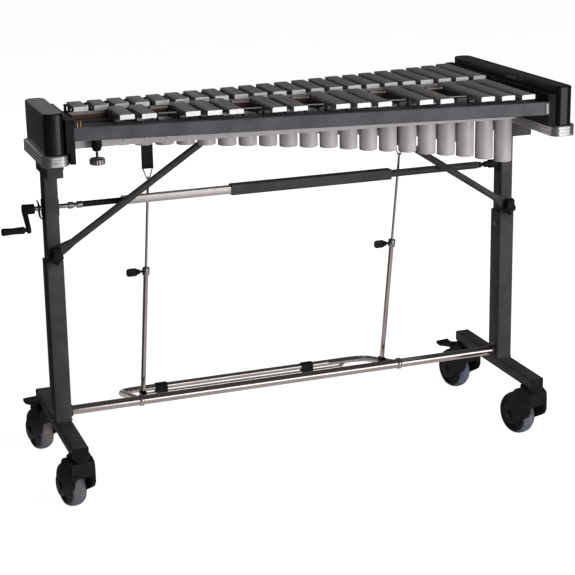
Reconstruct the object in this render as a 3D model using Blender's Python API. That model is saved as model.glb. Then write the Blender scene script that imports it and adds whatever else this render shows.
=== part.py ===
"""Three-octave concert bell keyboard on a crank-lift stand, with tuned metal bars, resonators and a damper pedal.

Metres, +Z up, floor at z = 0. The audience side is -Y, the player stands at +Y, low notes are at +X.
"""

import math

import bmesh
import bpy
from mathutils import Vector

GAP = 0.0003

# The stand's centre, measured from the middle of the object's outline on the floor.
STAND_CENTRE = (0.0366, -0.0077, 0)

# Bars and their two rows. Slot 0 is the highest accidental, natural 0 the highest natural.
PITCH = 0.045
BAR_WIDTH = 0.0315
BAR_THICKNESS = 0.010
BAR_TOP = 0.847
BAR_CHAMFER = 0.0022
FIRST_SLOT_X = -0.394
ACCIDENTAL_SLOTS = (0, 1, 3, 4, 5, 7, 8, 10, 11, 12, 14, 15, 17, 18, 19)
SLOTS = 20
NATURALS = 22
SHORT_ACCIDENTAL = 0.110
LONG_ACCIDENTAL = 0.230
LOW_NATURAL = 0.204
SCALE_STEPS = (0, 2, 4, 6, 7, 9, 11)
SEMITONES_PER_HALVING = 24
NODE_RATIO = 0.224
NATURAL_FRONT_Y = 0.013
ACCIDENTAL_FRONT_Y = -0.1852
ACCIDENTAL_FRONT_SLOPE = -0.168
CORD_RADIUS = 0.0013
CORD_HOLE_RADIUS = 0.0024
CORD_Z = BAR_TOP - BAR_THICKNESS / 2

# Keyboard frame.
RAIL_BOTTOM = 0.800
RAIL_TOP = 0.828
RAIL_DEPTH = 0.014
FRONT_RAIL_Y = -0.195
FRONT_RAIL_SLOPE = -0.1458
REAR_RAIL_Y = 0.156
REAR_RAIL_SLOPE = 0.146
STRIP_THICKNESS = 0.006
STRIP_BOTTOM = 0.806
POST_RADIUS = 0.003
FRAME_LEFT = -0.506
FRAME_RIGHT = 0.506
TIE_X = (-0.163, 0.163)

# End caps over the two end plates: (y front, y rear) of each side.
CAP_TOP = 0.860
CAP_BOTTOM = 0.7745
CAP_WIDTH = 0.0432
CAP_CENTRE_X = 0.547
CAP_CORNER = 0.016
LEFT_CAP_Y = (-0.122, 0.092)
RIGHT_CAP_Y = (-0.269, 0.243)
BAND_BOTTOM = 0.750
BAND_WIDTH = 0.0585
BAND_OVERHANG = 0.005

# Resonators.
TUBE_RADIUS = 0.020
TUBE_TOP = 0.824
LONGEST_TUBE = 0.150
TUBE_SEMITONES_PER_HALVING = 21
BANK_STRIP_BOTTOM = 0.777
BANK_STRIP_TOP = 0.799
BANK_STRIP_THICKNESS = 0.002

# Stand.
POST_X = 0.542
FOOT_WIDTH = 0.036
FOOT_FRONT = -0.185
FOOT_REAR = 0.205
FOOT_TOP = 0.158
FOOT_HEIGHT = 0.025
OUTER_SECTION = (0.038, 0.048)
OUTER_TOP = 0.522
INNER_SECTION = (0.030, 0.040)
INNER_BOTTOM = 0.180
TUBE_WALL = 0.0025
HEAD_BOTTOM = 0.712
HEAD_HALF_LENGTH = 0.060
LEFT_HEAD_X = (-0.557, -0.521)
RIGHT_HEAD_X = (0.527, 0.583)
CROSSBAR_Z = 0.1725
CROSSBAR_RADIUS = 0.0108

# Braces.
BRACE_Y = -0.031
BRACE_RADIUS = 0.0075
BRACE_PLATE = 0.004
BRACE_LOW = (0.541, 0.540)
BRACE_HIGH = (0.163, 0.7865)

# Lift drive: the crank, its shaft and the two joints along it.
SHAFT_Z = 0.638
CRANK_X = -0.598
CRANK_RADIUS = 0.056
CRANK_LEAN = math.radians(-54)
GRIP_LENGTH = 0.050

# Damper and pedal.
DAMPER_TOP = BAR_TOP - BAR_THICKNESS - GAP
DAMPER_BOTTOM = 0.816
STRAP_Y = 0.020
STRAP_WIRE_RADIUS = 0.0012
ROD_TOPS = ((-0.319, STRAP_Y, 0.676), (0.282, STRAP_Y, 0.676))
ROD_FEET = ((-0.341, 0.055, 0.172), (0.253, 0.055, 0.172))
UPPER_ROD_RADIUS = 0.003
LOWER_ROD_RADIUS = 0.0055
LOWER_ROD_BORE = 0.0046
CLAMP_Z = 0.462
UPPER_ROD_END_Z = 0.235
PEDAL_X = (-0.360, 0.272)
PEDAL_FAR_Y = 0.222
PEDAL_FAR_Z = 0.114
PEDAL_RADIUS = 0.0075
PEDAL_CORNER = 0.042

# Casters: stem position and which ones carry a brake lever.
WHEEL_RADIUS = 0.050
WHEEL_WIDTH = 0.034
CASTER_TRAIL = 0.050
CASTER_TURN = math.radians(10)
STEM_TOP = FOOT_TOP - FOOT_HEIGHT - GAP
FRONT_STEM_Y = -0.160
REAR_STEM_Y = 0.180
AXLE_RADIUS = 0.004


# ---------------------------------------------------------------- mesh building
def clear_scene():
    for item in list(bpy.data.objects):
        bpy.data.objects.remove(item, do_unlink=True)


def material(name, colour, roughness, metallic):
    made = bpy.data.materials.new(name)
    made.use_nodes = True
    shader = made.node_tree.nodes["Principled BSDF"]
    shader.inputs["Base Color"].default_value = (*colour, 1.0)
    shader.inputs["Roughness"].default_value = roughness
    shader.inputs["Metallic"].default_value = metallic
    made.diffuse_color = (*colour, 1.0)
    return made


def loft(bm, rings, closed=False):
    """Joins rings of equal count by quads, and caps both ends unless the rings close on themselves."""
    loops = [[bm.verts.new(point) for point in ring] for ring in rings]
    pairs = list(zip(loops, loops[1:]))
    if closed:
        pairs.append((loops[-1], loops[0]))
    for low, high in pairs:
        for i in range(len(low)):
            j = (i + 1) % len(low)
            bm.faces.new((low[i], low[j], high[j], high[i]))
    if not closed:
        bm.faces.new(loops[0])
        bm.faces.new(loops[-1])


def add_box(bm, low, high):
    (x0, y0, z0), (x1, y1, z1) = low, high
    ring = ((x0, y0), (x1, y0), (x1, y1), (x0, y1))
    loft(bm, [[(x, y, z) for x, y in ring] for z in (z0, z1)])


def add_prism(bm, outline, low, high, axis="z"):
    """Extrudes a 2-D outline along one axis. The outline's two numbers are the other axes in x, y, z order."""
    place = {
        "x": lambda a, b, t: (t, a, b),
        "y": lambda a, b, t: (a, t, b),
        "z": lambda a, b, t: (a, b, t),
    }[axis]
    loft(bm, [[place(a, b, t) for a, b in outline] for t in (low, high)])


def circle(radius, sides, centre=(0, 0), start=0.0):
    step = 2 * math.pi / sides
    return [
        (centre[0] + radius * math.cos(start + i * step), centre[1] + radius * math.sin(start + i * step))
        for i in range(sides)
    ]


def rounded_rectangle(x0, x1, y0, y1, radius, steps=4):
    corners = (
        (x1 - radius, y1 - radius, 0),
        (x0 + radius, y1 - radius, 1),
        (x0 + radius, y0 + radius, 2),
        (x1 - radius, y0 + radius, 3),
    )
    points = []
    for cx, cy, quarter in corners:
        for i in range(steps + 1):
            angle = (quarter + i / steps) * math.pi / 2
            points.append((cx + radius * math.cos(angle), cy + radius * math.sin(angle)))
    return points


def add_rod(bm, start, end, radius, sides=12, end_radius=None):
    sweep(bm, [start, end], [radius, radius if end_radius is None else end_radius], sides)


def sweep(bm, path, radii, sides=8):
    """A round rod along a path, with its cross-section carried from point to point without twist."""
    points = [Vector(p) for p in path]
    if not hasattr(radii, "__len__"):
        radii = [radii] * len(points)
    directions = [(b - a).normalized() for a, b in zip(points, points[1:])]
    tangents = [directions[0]]
    tangents += [(a + b).normalized() for a, b in zip(directions, directions[1:])]
    tangents.append(directions[-1])
    side = tangents[0].orthogonal().normalized()
    rings = []
    for i, (point, tangent, radius) in enumerate(zip(points, tangents, radii)):
        side = (side - side.dot(tangent) * tangent).normalized()
        other = tangent.cross(side)
        stretch = 1.0
        if 0 < i < len(points) - 1:
            stretch = 1.0 / max(0.5, tangent.dot(directions[i]))
        bend = directions[min(i, len(directions) - 1)] - directions[max(i - 1, 0)]
        bend = bend.normalized() if bend.length > 1e-6 else Vector()
        ring = []
        for a, b in circle(radius, sides):
            offset = a * side + b * other
            offset += (stretch - 1.0) * offset.dot(bend) * bend
            ring.append(point + offset)
        rings.append(ring)
    loft(bm, rings)


def turned(bm, profile, centre, axis, sides, bored):
    """Revolves (radius, distance) points about an axis through centre. A bored profile closes on itself."""
    axis = Vector(axis).normalized()
    side = axis.orthogonal().normalized()
    other = axis.cross(side)
    rings = []
    for radius, distance in profile:
        ring = []
        for a, b in circle(radius, sides):
            ring.append(Vector(centre) + distance * axis + a * side + b * other)
        rings.append(ring)
    loft(bm, rings, closed=bored)


def rounded_path(corners, radius, steps=5):
    """A path through corners with an arc of the given radius at each inner one."""
    points = [Vector(corners[0])]
    for before, at, after in zip(corners, corners[1:], corners[2:]):
        at = Vector(at)
        back = (Vector(before) - at).normalized()
        on = (Vector(after) - at).normalized()
        half = back.angle(on) / 2
        reach = radius / math.tan(half)
        centre = at + (back + on).normalized() * radius / math.sin(half)
        start = at + back * reach - centre
        end = at + on * reach - centre
        for i in range(steps + 1):
            points.append(centre + start.normalized().slerp(end.normalized(), i / steps) * start.length)
    points.append(Vector(corners[-1]))
    return points


class Builder:
    """Makes named objects from meshes laid out in world coordinates."""

    def __init__(self):
        self.collection = bpy.context.scene.collection
        self.root = None
        self.root = self.group("stand_centre", STAND_CENTRE)

    def group(self, name, location=(0, 0, 0), turn=0.0, parent=None):
        empty = bpy.data.objects.new(name, None)
        empty.location = location
        empty.rotation_euler = (0, 0, turn)
        empty.parent = parent or self.root
        self.collection.objects.link(empty)
        return empty

    def mesh_object(self, name, draw, origin, parent):
        bm = bmesh.new()
        for step in draw if isinstance(draw, (list, tuple)) else [draw]:
            step(bm)
        bmesh.ops.recalc_face_normals(bm, faces=bm.faces)
        bmesh.ops.translate(bm, verts=bm.verts, vec=-Vector(origin))
        mesh = bpy.data.meshes.new(name)
        bm.to_mesh(mesh)
        bm.free()
        made = bpy.data.objects.new(name, mesh)
        made.location = origin
        made.parent = parent or self.root
        self.collection.objects.link(made)
        return made

    def solid(self, name, look, draw, origin=(0, 0, 0), parent=None, add=(), cut=(), smooth=True):
        """One node: a base shape, shapes joined to it and shapes cut from it."""
        made = self.mesh_object(name, draw, origin, parent)
        made.data.materials.append(look)
        if smooth:
            made.data.shade_smooth()
            made.data.set_sharp_from_angle(angle=math.radians(32))
        for operation, tools in (("UNION", add), ("DIFFERENCE", cut)):
            for i, tool in enumerate(tools):
                helper = self.mesh_object(f"{name}_{operation.lower()}_{i}", tool, origin, parent)
                helper.hide_render = True
                helper.display_type = "WIRE"
                modifier = made.modifiers.new(f"{operation.title()} {i}", "BOOLEAN")
                modifier.operation = operation
                modifier.object = helper
                modifier.solver = "EXACT"
        return made


# ---------------------------------------------------------------- keyboard layout
def slot_x(slot):
    return FIRST_SLOT_X + PITCH * slot


def natural_x(natural):
    return FIRST_SLOT_X + PITCH * (natural - 1.5)


def natural_semitone(natural):
    """Semitones above the lowest natural, counted along the scale from the low end."""
    steps = NATURALS - 1 - natural
    return SCALE_STEPS[steps % 7] + 12 * (steps // 7)


def accidental_front(x):
    return ACCIDENTAL_FRONT_Y + ACCIDENTAL_FRONT_SLOPE * x


def accidental_length(x):
    along = (x - slot_x(0)) / (slot_x(SLOTS - 1) - slot_x(0))
    return SHORT_ACCIDENTAL + (LONG_ACCIDENTAL - SHORT_ACCIDENTAL) * along


def natural_length(natural):
    """Bars of one thickness: length falls with the square root of the frequency."""
    if natural < 0:
        return natural_length(0)
    if natural > NATURALS - 1:
        return natural_length(NATURALS - 1)
    whole = math.floor(natural)
    above = min(whole + 1, NATURALS - 1)
    semitone = natural_semitone(whole)
    semitone += (natural_semitone(above) - semitone) * (natural - whole)
    return LOW_NATURAL * 2 ** (-semitone / SEMITONES_PER_HALVING)


def accidental_node_y(x, rear):
    ratio = 1 - NODE_RATIO if rear else NODE_RATIO
    return accidental_front(x) + ratio * accidental_length(x)


def natural_node_y(natural, rear):
    ratio = 1 - NODE_RATIO if rear else NODE_RATIO
    return NATURAL_FRONT_Y + ratio * natural_length(natural)


def bar_section(x):
    half = BAR_WIDTH / 2
    bottom = BAR_TOP - BAR_THICKNESS
    return [
        (x - half, bottom),
        (x + half, bottom),
        (x + half, BAR_TOP - BAR_CHAMFER),
        (x + half - BAR_CHAMFER, BAR_TOP),
        (x - half + BAR_CHAMFER, BAR_TOP),
        (x - half, BAR_TOP - BAR_CHAMFER),
    ]


def draw_bar(x, front, length):
    return lambda bm: add_prism(bm, bar_section(x), front, front + length, axis="y")


def accidental_cord(rear, radius, reach=0.5 * PITCH):
    """A straight cord line through the nodes of the accidental row."""
    ends = (slot_x(0) - reach, slot_x(SLOTS - 1) + reach)
    points = [(x, accidental_node_y(x, rear), CORD_Z) for x in ends]
    return lambda bm: sweep(bm, points, radius, sides=6)


def make_accidentals(build, look, lift):
    cutters = [accidental_cord(rear, CORD_HOLE_RADIUS, reach=PITCH) for rear in (False, True)]
    for number, slot in enumerate(reversed(ACCIDENTAL_SLOTS), start=1):
        x = slot_x(slot)
        bar = draw_bar(x, accidental_front(x), accidental_length(x))
        build.solid(f"accidental_bar_{number:02d}", look, bar, parent=lift, cut=cutters, smooth=False)


def make_naturals(build, look, lift):
    """The natural row in two strung sets, because each cord runs through every bar of its set."""
    half = NATURALS // 2
    for name, first, last in (("natural_bars_high", 0, half - 1), ("natural_bars_low", half, NATURALS - 1)):
        members = range(first, last + 1)
        bars = [draw_bar(natural_x(n), NATURAL_FRONT_Y, natural_length(n)) for n in members]
        cords = []
        for rear in (False, True):
            points = [(natural_x(n), natural_node_y(n, rear), CORD_Z) for n in members]
            cords.append(lambda bm, points=points: sweep(bm, points, CORD_RADIUS, sides=6))
        build.solid(name, look, bars, parent=lift, add=[cords], smooth=False)


# ---------------------------------------------------------------- keyboard frame
def front_rail_y(x):
    return FRONT_RAIL_Y + FRONT_RAIL_SLOPE * x


def rear_rail_y(x):
    return REAR_RAIL_Y + REAR_RAIL_SLOPE * x


def draw_strip(points, thickness, bottom, top):
    """An upright flat strip along plan points."""
    ring = [(x, y - thickness / 2) for x, y in points]
    ring += [(x, y + thickness / 2) for x, y in reversed(points)]
    return lambda bm: add_prism(bm, ring, bottom, top)


def strip_points(rear, natural):
    """Plan points of a support strip: the nodes of its row, carried on to both end plates."""
    if not natural:
        return [(x, accidental_node_y(x, rear)) for x in (FRAME_LEFT - 0.004, FRAME_RIGHT + 0.004)]
    points = [(natural_x(n), natural_node_y(n, rear)) for n in range(NATURALS)]
    ends = []
    for (x0, y0), (x1, y1), x in (
        (points[1], points[0], FRAME_LEFT - 0.004),
        (points[-2], points[-1], FRAME_RIGHT + 0.004),
    ):
        ends.append((x, y1 + (y1 - y0) / (x1 - x0) * (x - x1)))
    return [ends[0], *points, ends[1]]


def draw_posts(bm):
    """Cord posts between the bars: tall ones through which the accidental cords run, pegs under the rest."""
    for rear in (False, True):
        for slot in range(SLOTS + 1):
            near_a_bar = slot in ACCIDENTAL_SLOTS or slot - 1 in ACCIDENTAL_SLOTS
            if near_a_bar:
                x = slot_x(slot) - PITCH / 2
                y = accidental_node_y(x, rear)
                add_rod(bm, (x, y, RAIL_TOP - 0.004), (x, y, BAR_TOP - 0.001), POST_RADIUS, sides=4)
        for natural in range(NATURALS + 1):
            x = natural_x(natural) - PITCH / 2
            y = natural_node_y(natural - 0.5, rear)
            top = CORD_Z - CORD_RADIUS - 2 * GAP
            add_rod(bm, (x, y, RAIL_TOP - 0.004), (x, y, top), POST_RADIUS, sides=4)


def end_plate_section(sign):
    """Plan of one end plate against its cap, in x from the centre: thick above the band, thin behind it."""
    inner = sign * 0.506
    thick = sign * (CAP_CENTRE_X - CAP_WIDTH / 2 - GAP)
    thin = sign * (CAP_CENTRE_X - BAND_WIDTH / 2 - GAP)
    return inner, thick, thin


def draw_end_plate(sign, y_range):
    inner, thick, thin = end_plate_section(sign)
    front, rear = y_range[0] + 0.001, y_range[1] - 0.001
    outline = [(inner, 0.752), (thin, 0.752), (thin, CAP_BOTTOM + GAP), (thick, CAP_BOTTOM + GAP)]
    outline += [(thick, BAR_TOP - 0.002), (inner, BAR_TOP - 0.002)]
    return lambda bm: add_prism(bm, outline, front, rear, axis="y")


def make_frame(build, look, lift):
    ends = (FRAME_LEFT - 0.004, FRAME_RIGHT + 0.004)
    front = [(x, front_rail_y(x) + RAIL_DEPTH / 2) for x in ends]
    rear = [(x, rear_rail_y(x) - RAIL_DEPTH / 2) for x in ends]
    base = draw_strip(front, RAIL_DEPTH, RAIL_BOTTOM, RAIL_TOP)
    joined = [
        draw_strip(rear, RAIL_DEPTH, RAIL_BOTTOM, RAIL_TOP),
        [draw_end_plate(-1, LEFT_CAP_Y), draw_end_plate(1, RIGHT_CAP_Y)],
    ]
    for natural in (False, True):
        for rear_side in (False, True):
            points = strip_points(rear_side, natural)
            joined.append(draw_strip(points, STRIP_THICKNESS, STRIP_BOTTOM, RAIL_TOP))
    joined.append([draw_tie(x) for x in TIE_X])
    joined.append(draw_posts)
    joined.append([accidental_cord(rear_side, CORD_RADIUS) for rear_side in (False, True)])
    joined.append(draw_adjuster_socket)
    return build.solid("keyboard_frame", look, base, parent=lift, add=joined)


def draw_tie(x):
    """A flat tie under the two middle strips, with a lug that takes the top of a brace."""
    natural = (x - natural_x(0)) / PITCH
    front = accidental_node_y(x, True) - STRIP_THICKNESS / 2
    rear = natural_node_y(natural, False) + STRIP_THICKNESS / 2
    lug = BRACE_Y + BRACE_PLATE / 2 + GAP

    def draw(bm):
        outline = [(front, 0.800), (lug, 0.800), (lug, 0.776), (lug + 0.004, 0.776), (lug + 0.004, 0.800)]
        outline += [(rear, 0.800), (rear, STRIP_BOTTOM + 0.001), (front, STRIP_BOTTOM + 0.001)]
        add_prism(bm, outline, x - 0.010, x + 0.010, axis="x")

    return draw


ADJUSTER = (-0.460, -0.112)


def draw_adjuster_socket(bm):
    """A tapered socket below the frame's high end, on an arm from the front rail."""
    x, y = ADJUSTER
    profile = ((0.0105, 0.803), (0.0105, 0.781), (0.0075, 0.775))
    turned(bm, profile, (x, y, 0), (0, 0, 1), 12, bored=False)


def make_adjuster(build, look, lift):
    x, y = ADJUSTER
    profile = ((0.003, 0.7745), (0.003, 0.760), (0.0145, 0.760), (0.0165, 0.757), (0.0165, 0.749))
    profile += ((0.0145, 0.746),)
    draw = lambda bm: turned(bm, profile, (x, y, 0), (0, 0, 1), 16, bored=False)
    build.solid("adjuster_screw", look, draw, origin=(x, y, 0.755), parent=lift)


def draw_cap(sign, y_range):
    centre = sign * CAP_CENTRE_X
    half = CAP_WIDTH / 2
    rings = []
    for z, inset in ((CAP_BOTTOM, 0.0), (CAP_TOP - 0.004, 0.0), (CAP_TOP - 0.0012, 0.0012), (CAP_TOP, 0.004)):
        outline = rounded_rectangle(
            centre - half + inset,
            centre + half - inset,
            y_range[0] + inset,
            y_range[1] - inset,
            CAP_CORNER - inset,
        )
        rings.append([(x, y, z) for x, y in outline])
    return lambda bm: loft(bm, rings)


def draw_band(sign, y_range):
    """The ribbed metal band that carries a cap: full width at its lip, a step below."""
    centre = sign * CAP_CENTRE_X
    half = BAND_WIDTH / 2
    top = CAP_BOTTOM - GAP
    low, high = y_range[0] - BAND_OVERHANG, y_range[1] + BAND_OVERHANG
    rings = []
    for z, inset in ((BAND_BOTTOM, 0.001), (BAND_BOTTOM + 0.001, 0.0), (top - 0.001, 0.0), (top, 0.001)):
        corner = 0.020
        left, right = centre - half + inset, centre + half - inset
        outline = rounded_rectangle(left, right, low + inset, high - inset, corner)
        rings.append([(x, y, z) for x, y in outline])
    return lambda bm: loft(bm, rings)


def make_ends(build, looks, lift):
    for side, sign, y_range in (("left", -1, LEFT_CAP_Y), ("right", 1, RIGHT_CAP_Y)):
        build.solid(f"{side}_end_cap", looks["gloss"], draw_cap(sign, y_range), parent=lift)
        build.solid(f"{side}_end_band", looks["aluminium"], draw_band(sign, y_range), parent=lift)


# ---------------------------------------------------------------- resonators
def tube_length(semitone):
    return LONGEST_TUBE * 2 ** (-semitone / TUBE_SEMITONES_PER_HALVING)


def draw_bank(tubes):
    """Closed tubes, each (x, y, radius, bottom), between two long strips."""

    def draw_tubes(bm):
        for x, y, radius, bottom in tubes:
            turned(bm, ((radius, TUBE_TOP), (radius, bottom)), (x, y, 0), (0, 0, 1), 14, bored=False)

    strips = []
    for sign in (-1, 1):
        points = [(x, y + sign * (radius - 0.0005)) for x, y, radius, _ in tubes]
        lead = 0.021
        first, last = points[0], points[-1]
        points = [(first[0] - lead, first[1]), *points, (last[0] + lead, last[1])]
        strips.append(draw_strip(points, BANK_STRIP_THICKNESS, BANK_STRIP_BOTTOM, BANK_STRIP_TOP))
    return draw_tubes, strips


def make_resonators(build, look, lift):
    near, far = [], []
    for slot in range(SLOTS):
        x = slot_x(slot)
        y = (accidental_node_y(x, False) + accidental_node_y(x, True)) / 2
        semitone = (natural_semitone(slot + 1) + natural_semitone(slot + 2)) / 2
        near.append((x, y, TUBE_RADIUS, TUBE_TOP - tube_length(semitone)))
    for natural in range(NATURALS):
        low, high = natural_node_y(natural, False), natural_node_y(natural, True)
        radius = min(TUBE_RADIUS, (high - low) / 2 - STRIP_THICKNESS / 2 - 0.002)
        bottom = TUBE_TOP - tube_length(natural_semitone(natural))
        far.append((natural_x(natural), (low + high) / 2, radius, min(bottom, BANK_STRIP_BOTTOM + 0.002)))
    for name, tubes in (("near_resonators", near), ("far_resonators", far)):
        draw, strips = draw_bank(tubes)
        build.solid(name, look, draw, parent=lift, add=[strips])


# ---------------------------------------------------------------- stand
def sides():
    return (("left", -1, LEFT_HEAD_X), ("right", 1, RIGHT_HEAD_X))


def section_outline(centre_x, section, inset=0.0, radius=0.004):
    half_x, half_y = section[0] / 2 - inset, section[1] / 2 - inset
    return rounded_rectangle(
        centre_x - half_x, centre_x + half_x, -half_y, half_y, max(0.001, radius - inset), steps=2
    )


def make_legs(build, looks):
    clearance = (OUTER_SECTION[0] - INNER_SECTION[0]) / 2 - GAP
    for side, sign, _ in sides():
        x = sign * POST_X
        half = FOOT_WIDTH / 2
        foot = rounded_rectangle(x - half, x + half, FOOT_TOP - FOOT_HEIGHT, FOOT_TOP, 0.003, steps=2)
        post = section_outline(x, OUTER_SECTION)
        bore = section_outline(x, OUTER_SECTION, inset=clearance)
        build.solid(
            f"{side}_leg",
            looks["coat"],
            lambda bm: add_prism(bm, foot, FOOT_FRONT, FOOT_REAR, axis="y"),
            add=[
                lambda bm: add_prism(bm, post, FOOT_TOP - 0.002, OUTER_TOP),
            ],
            cut=[
                lambda bm: add_prism(bm, bore, FOOT_TOP + 0.003, OUTER_TOP + 0.010),
            ],
        )


def make_crossbar(build, look):
    reach = POST_X - OUTER_SECTION[0] / 2 - GAP
    ends = ((-reach, 0, CROSSBAR_Z), (reach, 0, CROSSBAR_Z))
    build.solid("crossbar", look, lambda bm: add_rod(bm, *ends, CROSSBAR_RADIUS, sides=20))


def make_columns(build, looks, lift):
    for side, sign, head_x in sides():
        x = sign * POST_X
        column = section_outline(x, INNER_SECTION, radius=0.003)
        hollow = section_outline(x, INNER_SECTION, inset=TUBE_WALL)
        head_top = BAND_BOTTOM - GAP
        head = rounded_rectangle(head_x[0], head_x[1], -HEAD_HALF_LENGTH, HEAD_HALF_LENGTH, 0.004, steps=2)
        outer_face = sign * (POST_X + INNER_SECTION[0] / 2 + 0.010)
        inner_face = sign * (POST_X - INNER_SECTION[0] / 2 - 0.010)
        through = ((outer_face if side == "left" else x, 0, SHAFT_Z), (inner_face, 0, SHAFT_Z))
        build.solid(
            f"{side}_column",
            looks["coat"],
            lambda bm: add_prism(bm, column, INNER_BOTTOM, HEAD_BOTTOM + 0.002),
            parent=lift,
            add=[lambda bm: add_prism(bm, head, HEAD_BOTTOM, head_top)],
            cut=[
                lambda bm: add_prism(bm, hollow, INNER_BOTTOM - 0.010, HEAD_BOTTOM + 0.010),
                lambda bm: add_rod(bm, *through, 0.0065, sides=12),
            ],
        )


def brace_ends(sign):
    low = Vector((sign * BRACE_LOW[0], BRACE_Y, BRACE_LOW[1]))
    high = Vector((sign * BRACE_HIGH[0], BRACE_Y, BRACE_HIGH[1]))
    return low, high


def draw_brace_end(centre, along, length, depth, half=0.011):
    """A flattened end of the brace tube: a plate about its bolt, lying in the plane of the posts."""
    across = Vector((0, 1, 0)).cross(along).normalized()
    rings = []
    for y in depth:
        corners = []
        for a, b in ((-half, -half), (length, -half), (length, half), (-half, half)):
            point = centre + a * along + b * across
            corners.append((point.x, y, point.z))
        rings.append(corners)
    return lambda bm: loft(bm, rings)


def make_braces(build, looks, lift):
    plate_depth = (-INNER_SECTION[1] / 2 - GAP - 0.004, -INNER_SECTION[1] / 2 - GAP)
    for side, sign, _ in sides():
        low, high = brace_ends(sign)
        along = (high - low).normalized()
        flat_top = (BRACE_Y - BRACE_PLATE / 2, BRACE_Y + BRACE_PLATE / 2)
        tube = (low + 0.020 * along, high - 0.026 * along)
        build.solid(
            f"{side}_brace",
            looks["coat"],
            lambda bm: add_rod(bm, *tube, BRACE_RADIUS, sides=12),
            parent=lift,
            add=[
                draw_brace_end(low, along, 0.032, plate_depth),
                draw_brace_end(
                    low, along, 0.029, (plate_depth[0] - 0.004, plate_depth[0] + 0.001), half=0.0095
                ),
                draw_brace_end(high - 0.024 * along, along, 0.024, flat_top),
            ],
        )
        face = plate_depth[0] - 0.004 - GAP
        knob = ((0.006, 0.0), (0.006, 0.004), (0.013, 0.006), (0.0135, 0.014), (0.010, 0.018))
        build.solid(
            f"{side}_brace_knob",
            looks["plastic"],
            lambda bm: turned(bm, knob, (low.x, face, low.z), (0, -1, 0), 12, bored=False),
            origin=(low.x, face, low.z),
            parent=lift,
        )


# ---------------------------------------------------------------- lift drive
def make_drive(build, looks, lift):
    pivot = (CRANK_X, 0, SHAFT_Z)
    down = Vector((0, math.sin(CRANK_LEAN), -math.cos(CRANK_LEAN)))
    pin = Vector(pivot) + CRANK_RADIUS * down

    def along_shaft(bm, x0, x1, radius, sides=12):
        add_rod(bm, (x0, 0, SHAFT_Z), (x1, 0, SHAFT_Z), radius, sides)

    def draw_arm(bm):
        across = Vector((0, down.z, -down.y))
        rings = []
        for x in (CRANK_X - 0.004, CRANK_X + 0.004):
            ring = []
            for a, b in rounded_rectangle(-0.010, 0.010, -0.012, CRANK_RADIUS + 0.010, 0.0095, steps=3):
                ring.append(Vector((x, 0, SHAFT_Z)) + a * across + b * down)
            rings.append(ring)
        loft(bm, rings)

    build.solid(
        "crank_arm",
        looks["plastic"],
        draw_arm,
        origin=pivot,
        parent=lift,
        add=[
            lambda bm: along_shaft(bm, CRANK_X - 0.003, CRANK_X + 0.022, 0.011),
            lambda bm: along_shaft(bm, CRANK_X, -0.500, 0.005),
            lambda bm: along_shaft(bm, -0.503, -0.472, 0.0075),
            lambda bm: along_shaft(bm, -0.474, -0.385 - GAP, 0.0065),
            lambda bm: add_rod(bm, pin, pin + Vector((-0.008, 0, 0)), 0.0045, 10),
        ],
    )
    grip_start = pin.x - 0.008 - GAP
    profile = ((0.0065, 0.0), (0.0085, 0.004), (0.0075, 0.030), (0.0085, 0.046), (0.006, GRIP_LENGTH))
    build.solid(
        "crank_grip",
        looks["plastic"],
        lambda bm: turned(bm, profile, (grip_start, pin.y, pin.z), (-1, 0, 0), 12, bored=False),
        origin=(grip_start, pin.y, pin.z),
        parent=lift,
    )
    half_bar, half_sleeve = 0.0085, 0.0118
    build.solid(
        "shaft_bar",
        looks["steel"],
        lambda bm: add_box(
            bm, (-0.385, -half_bar, SHAFT_Z - half_bar), (-0.1375, half_bar, SHAFT_Z + half_bar)
        ),
        origin=pivot,
        parent=lift,
    )
    sleeve = rounded_rectangle(
        -half_sleeve, half_sleeve, SHAFT_Z - half_sleeve, SHAFT_Z + half_sleeve, 0.002, steps=1
    )
    build.solid(
        "shaft_sleeve",
        looks["coat"],
        lambda bm: add_prism(bm, sleeve, -0.137, 0.249, axis="x"),
        origin=pivot,
        parent=lift,
        add=[
            lambda bm: along_shaft(bm, 0.247, 0.473, 0.0085),
            lambda bm: along_shaft(bm, 0.471, 0.505, 0.0065),
            lambda bm: along_shaft(bm, 0.503, POST_X - INNER_SECTION[0] / 2 - GAP, 0.010),
            lambda bm: along_shaft(bm, 0.520, POST_X + 0.008, 0.005),
        ],
    )


# ---------------------------------------------------------------- damper and pedal
def damper_edge(x, rear):
    """The damper bar's front and rear edges, under the meeting ends of the two rows."""
    if rear:
        return 0.018 + 0.012 * (x + 0.5)
    return -0.020 - 0.022 * (x + 0.5)


def make_damper(build, looks, lift):
    ends = (-0.490, 0.490)
    outline = [(x, damper_edge(x, False)) for x in ends] + [(x, damper_edge(x, True)) for x in reversed(ends)]
    joined = []
    for x, y, z in ROD_TOPS:
        low, high = (x - 0.0145, y - 0.0017, z + 0.028), (x + 0.0145, y + 0.0017, DAMPER_BOTTOM + 0.002)
        joined.append(lambda bm, low=low, high=high: add_box(bm, low, high))
        wire = [(x - 0.010, y, z + 0.032), (x - 0.004, y, z), (x + 0.004, y, z), (x + 0.010, y, z + 0.032)]
        joined.append(lambda bm, wire=wire: sweep(bm, wire, STRAP_WIRE_RADIUS, sides=6))
    build.solid(
        "damper_bar",
        looks["felt"],
        lambda bm: add_prism(bm, outline, DAMPER_BOTTOM, DAMPER_TOP),
        parent=lift,
        add=joined,
        smooth=False,
    )


def rod_frame(index):
    foot, top = Vector(ROD_FEET[index]), Vector(ROD_TOPS[index])
    direction = (top - foot).normalized()
    return foot, top, direction


def at_height(index, z):
    foot, _, direction = rod_frame(index)
    return foot + direction * ((z - foot.z) / direction.z)


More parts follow.
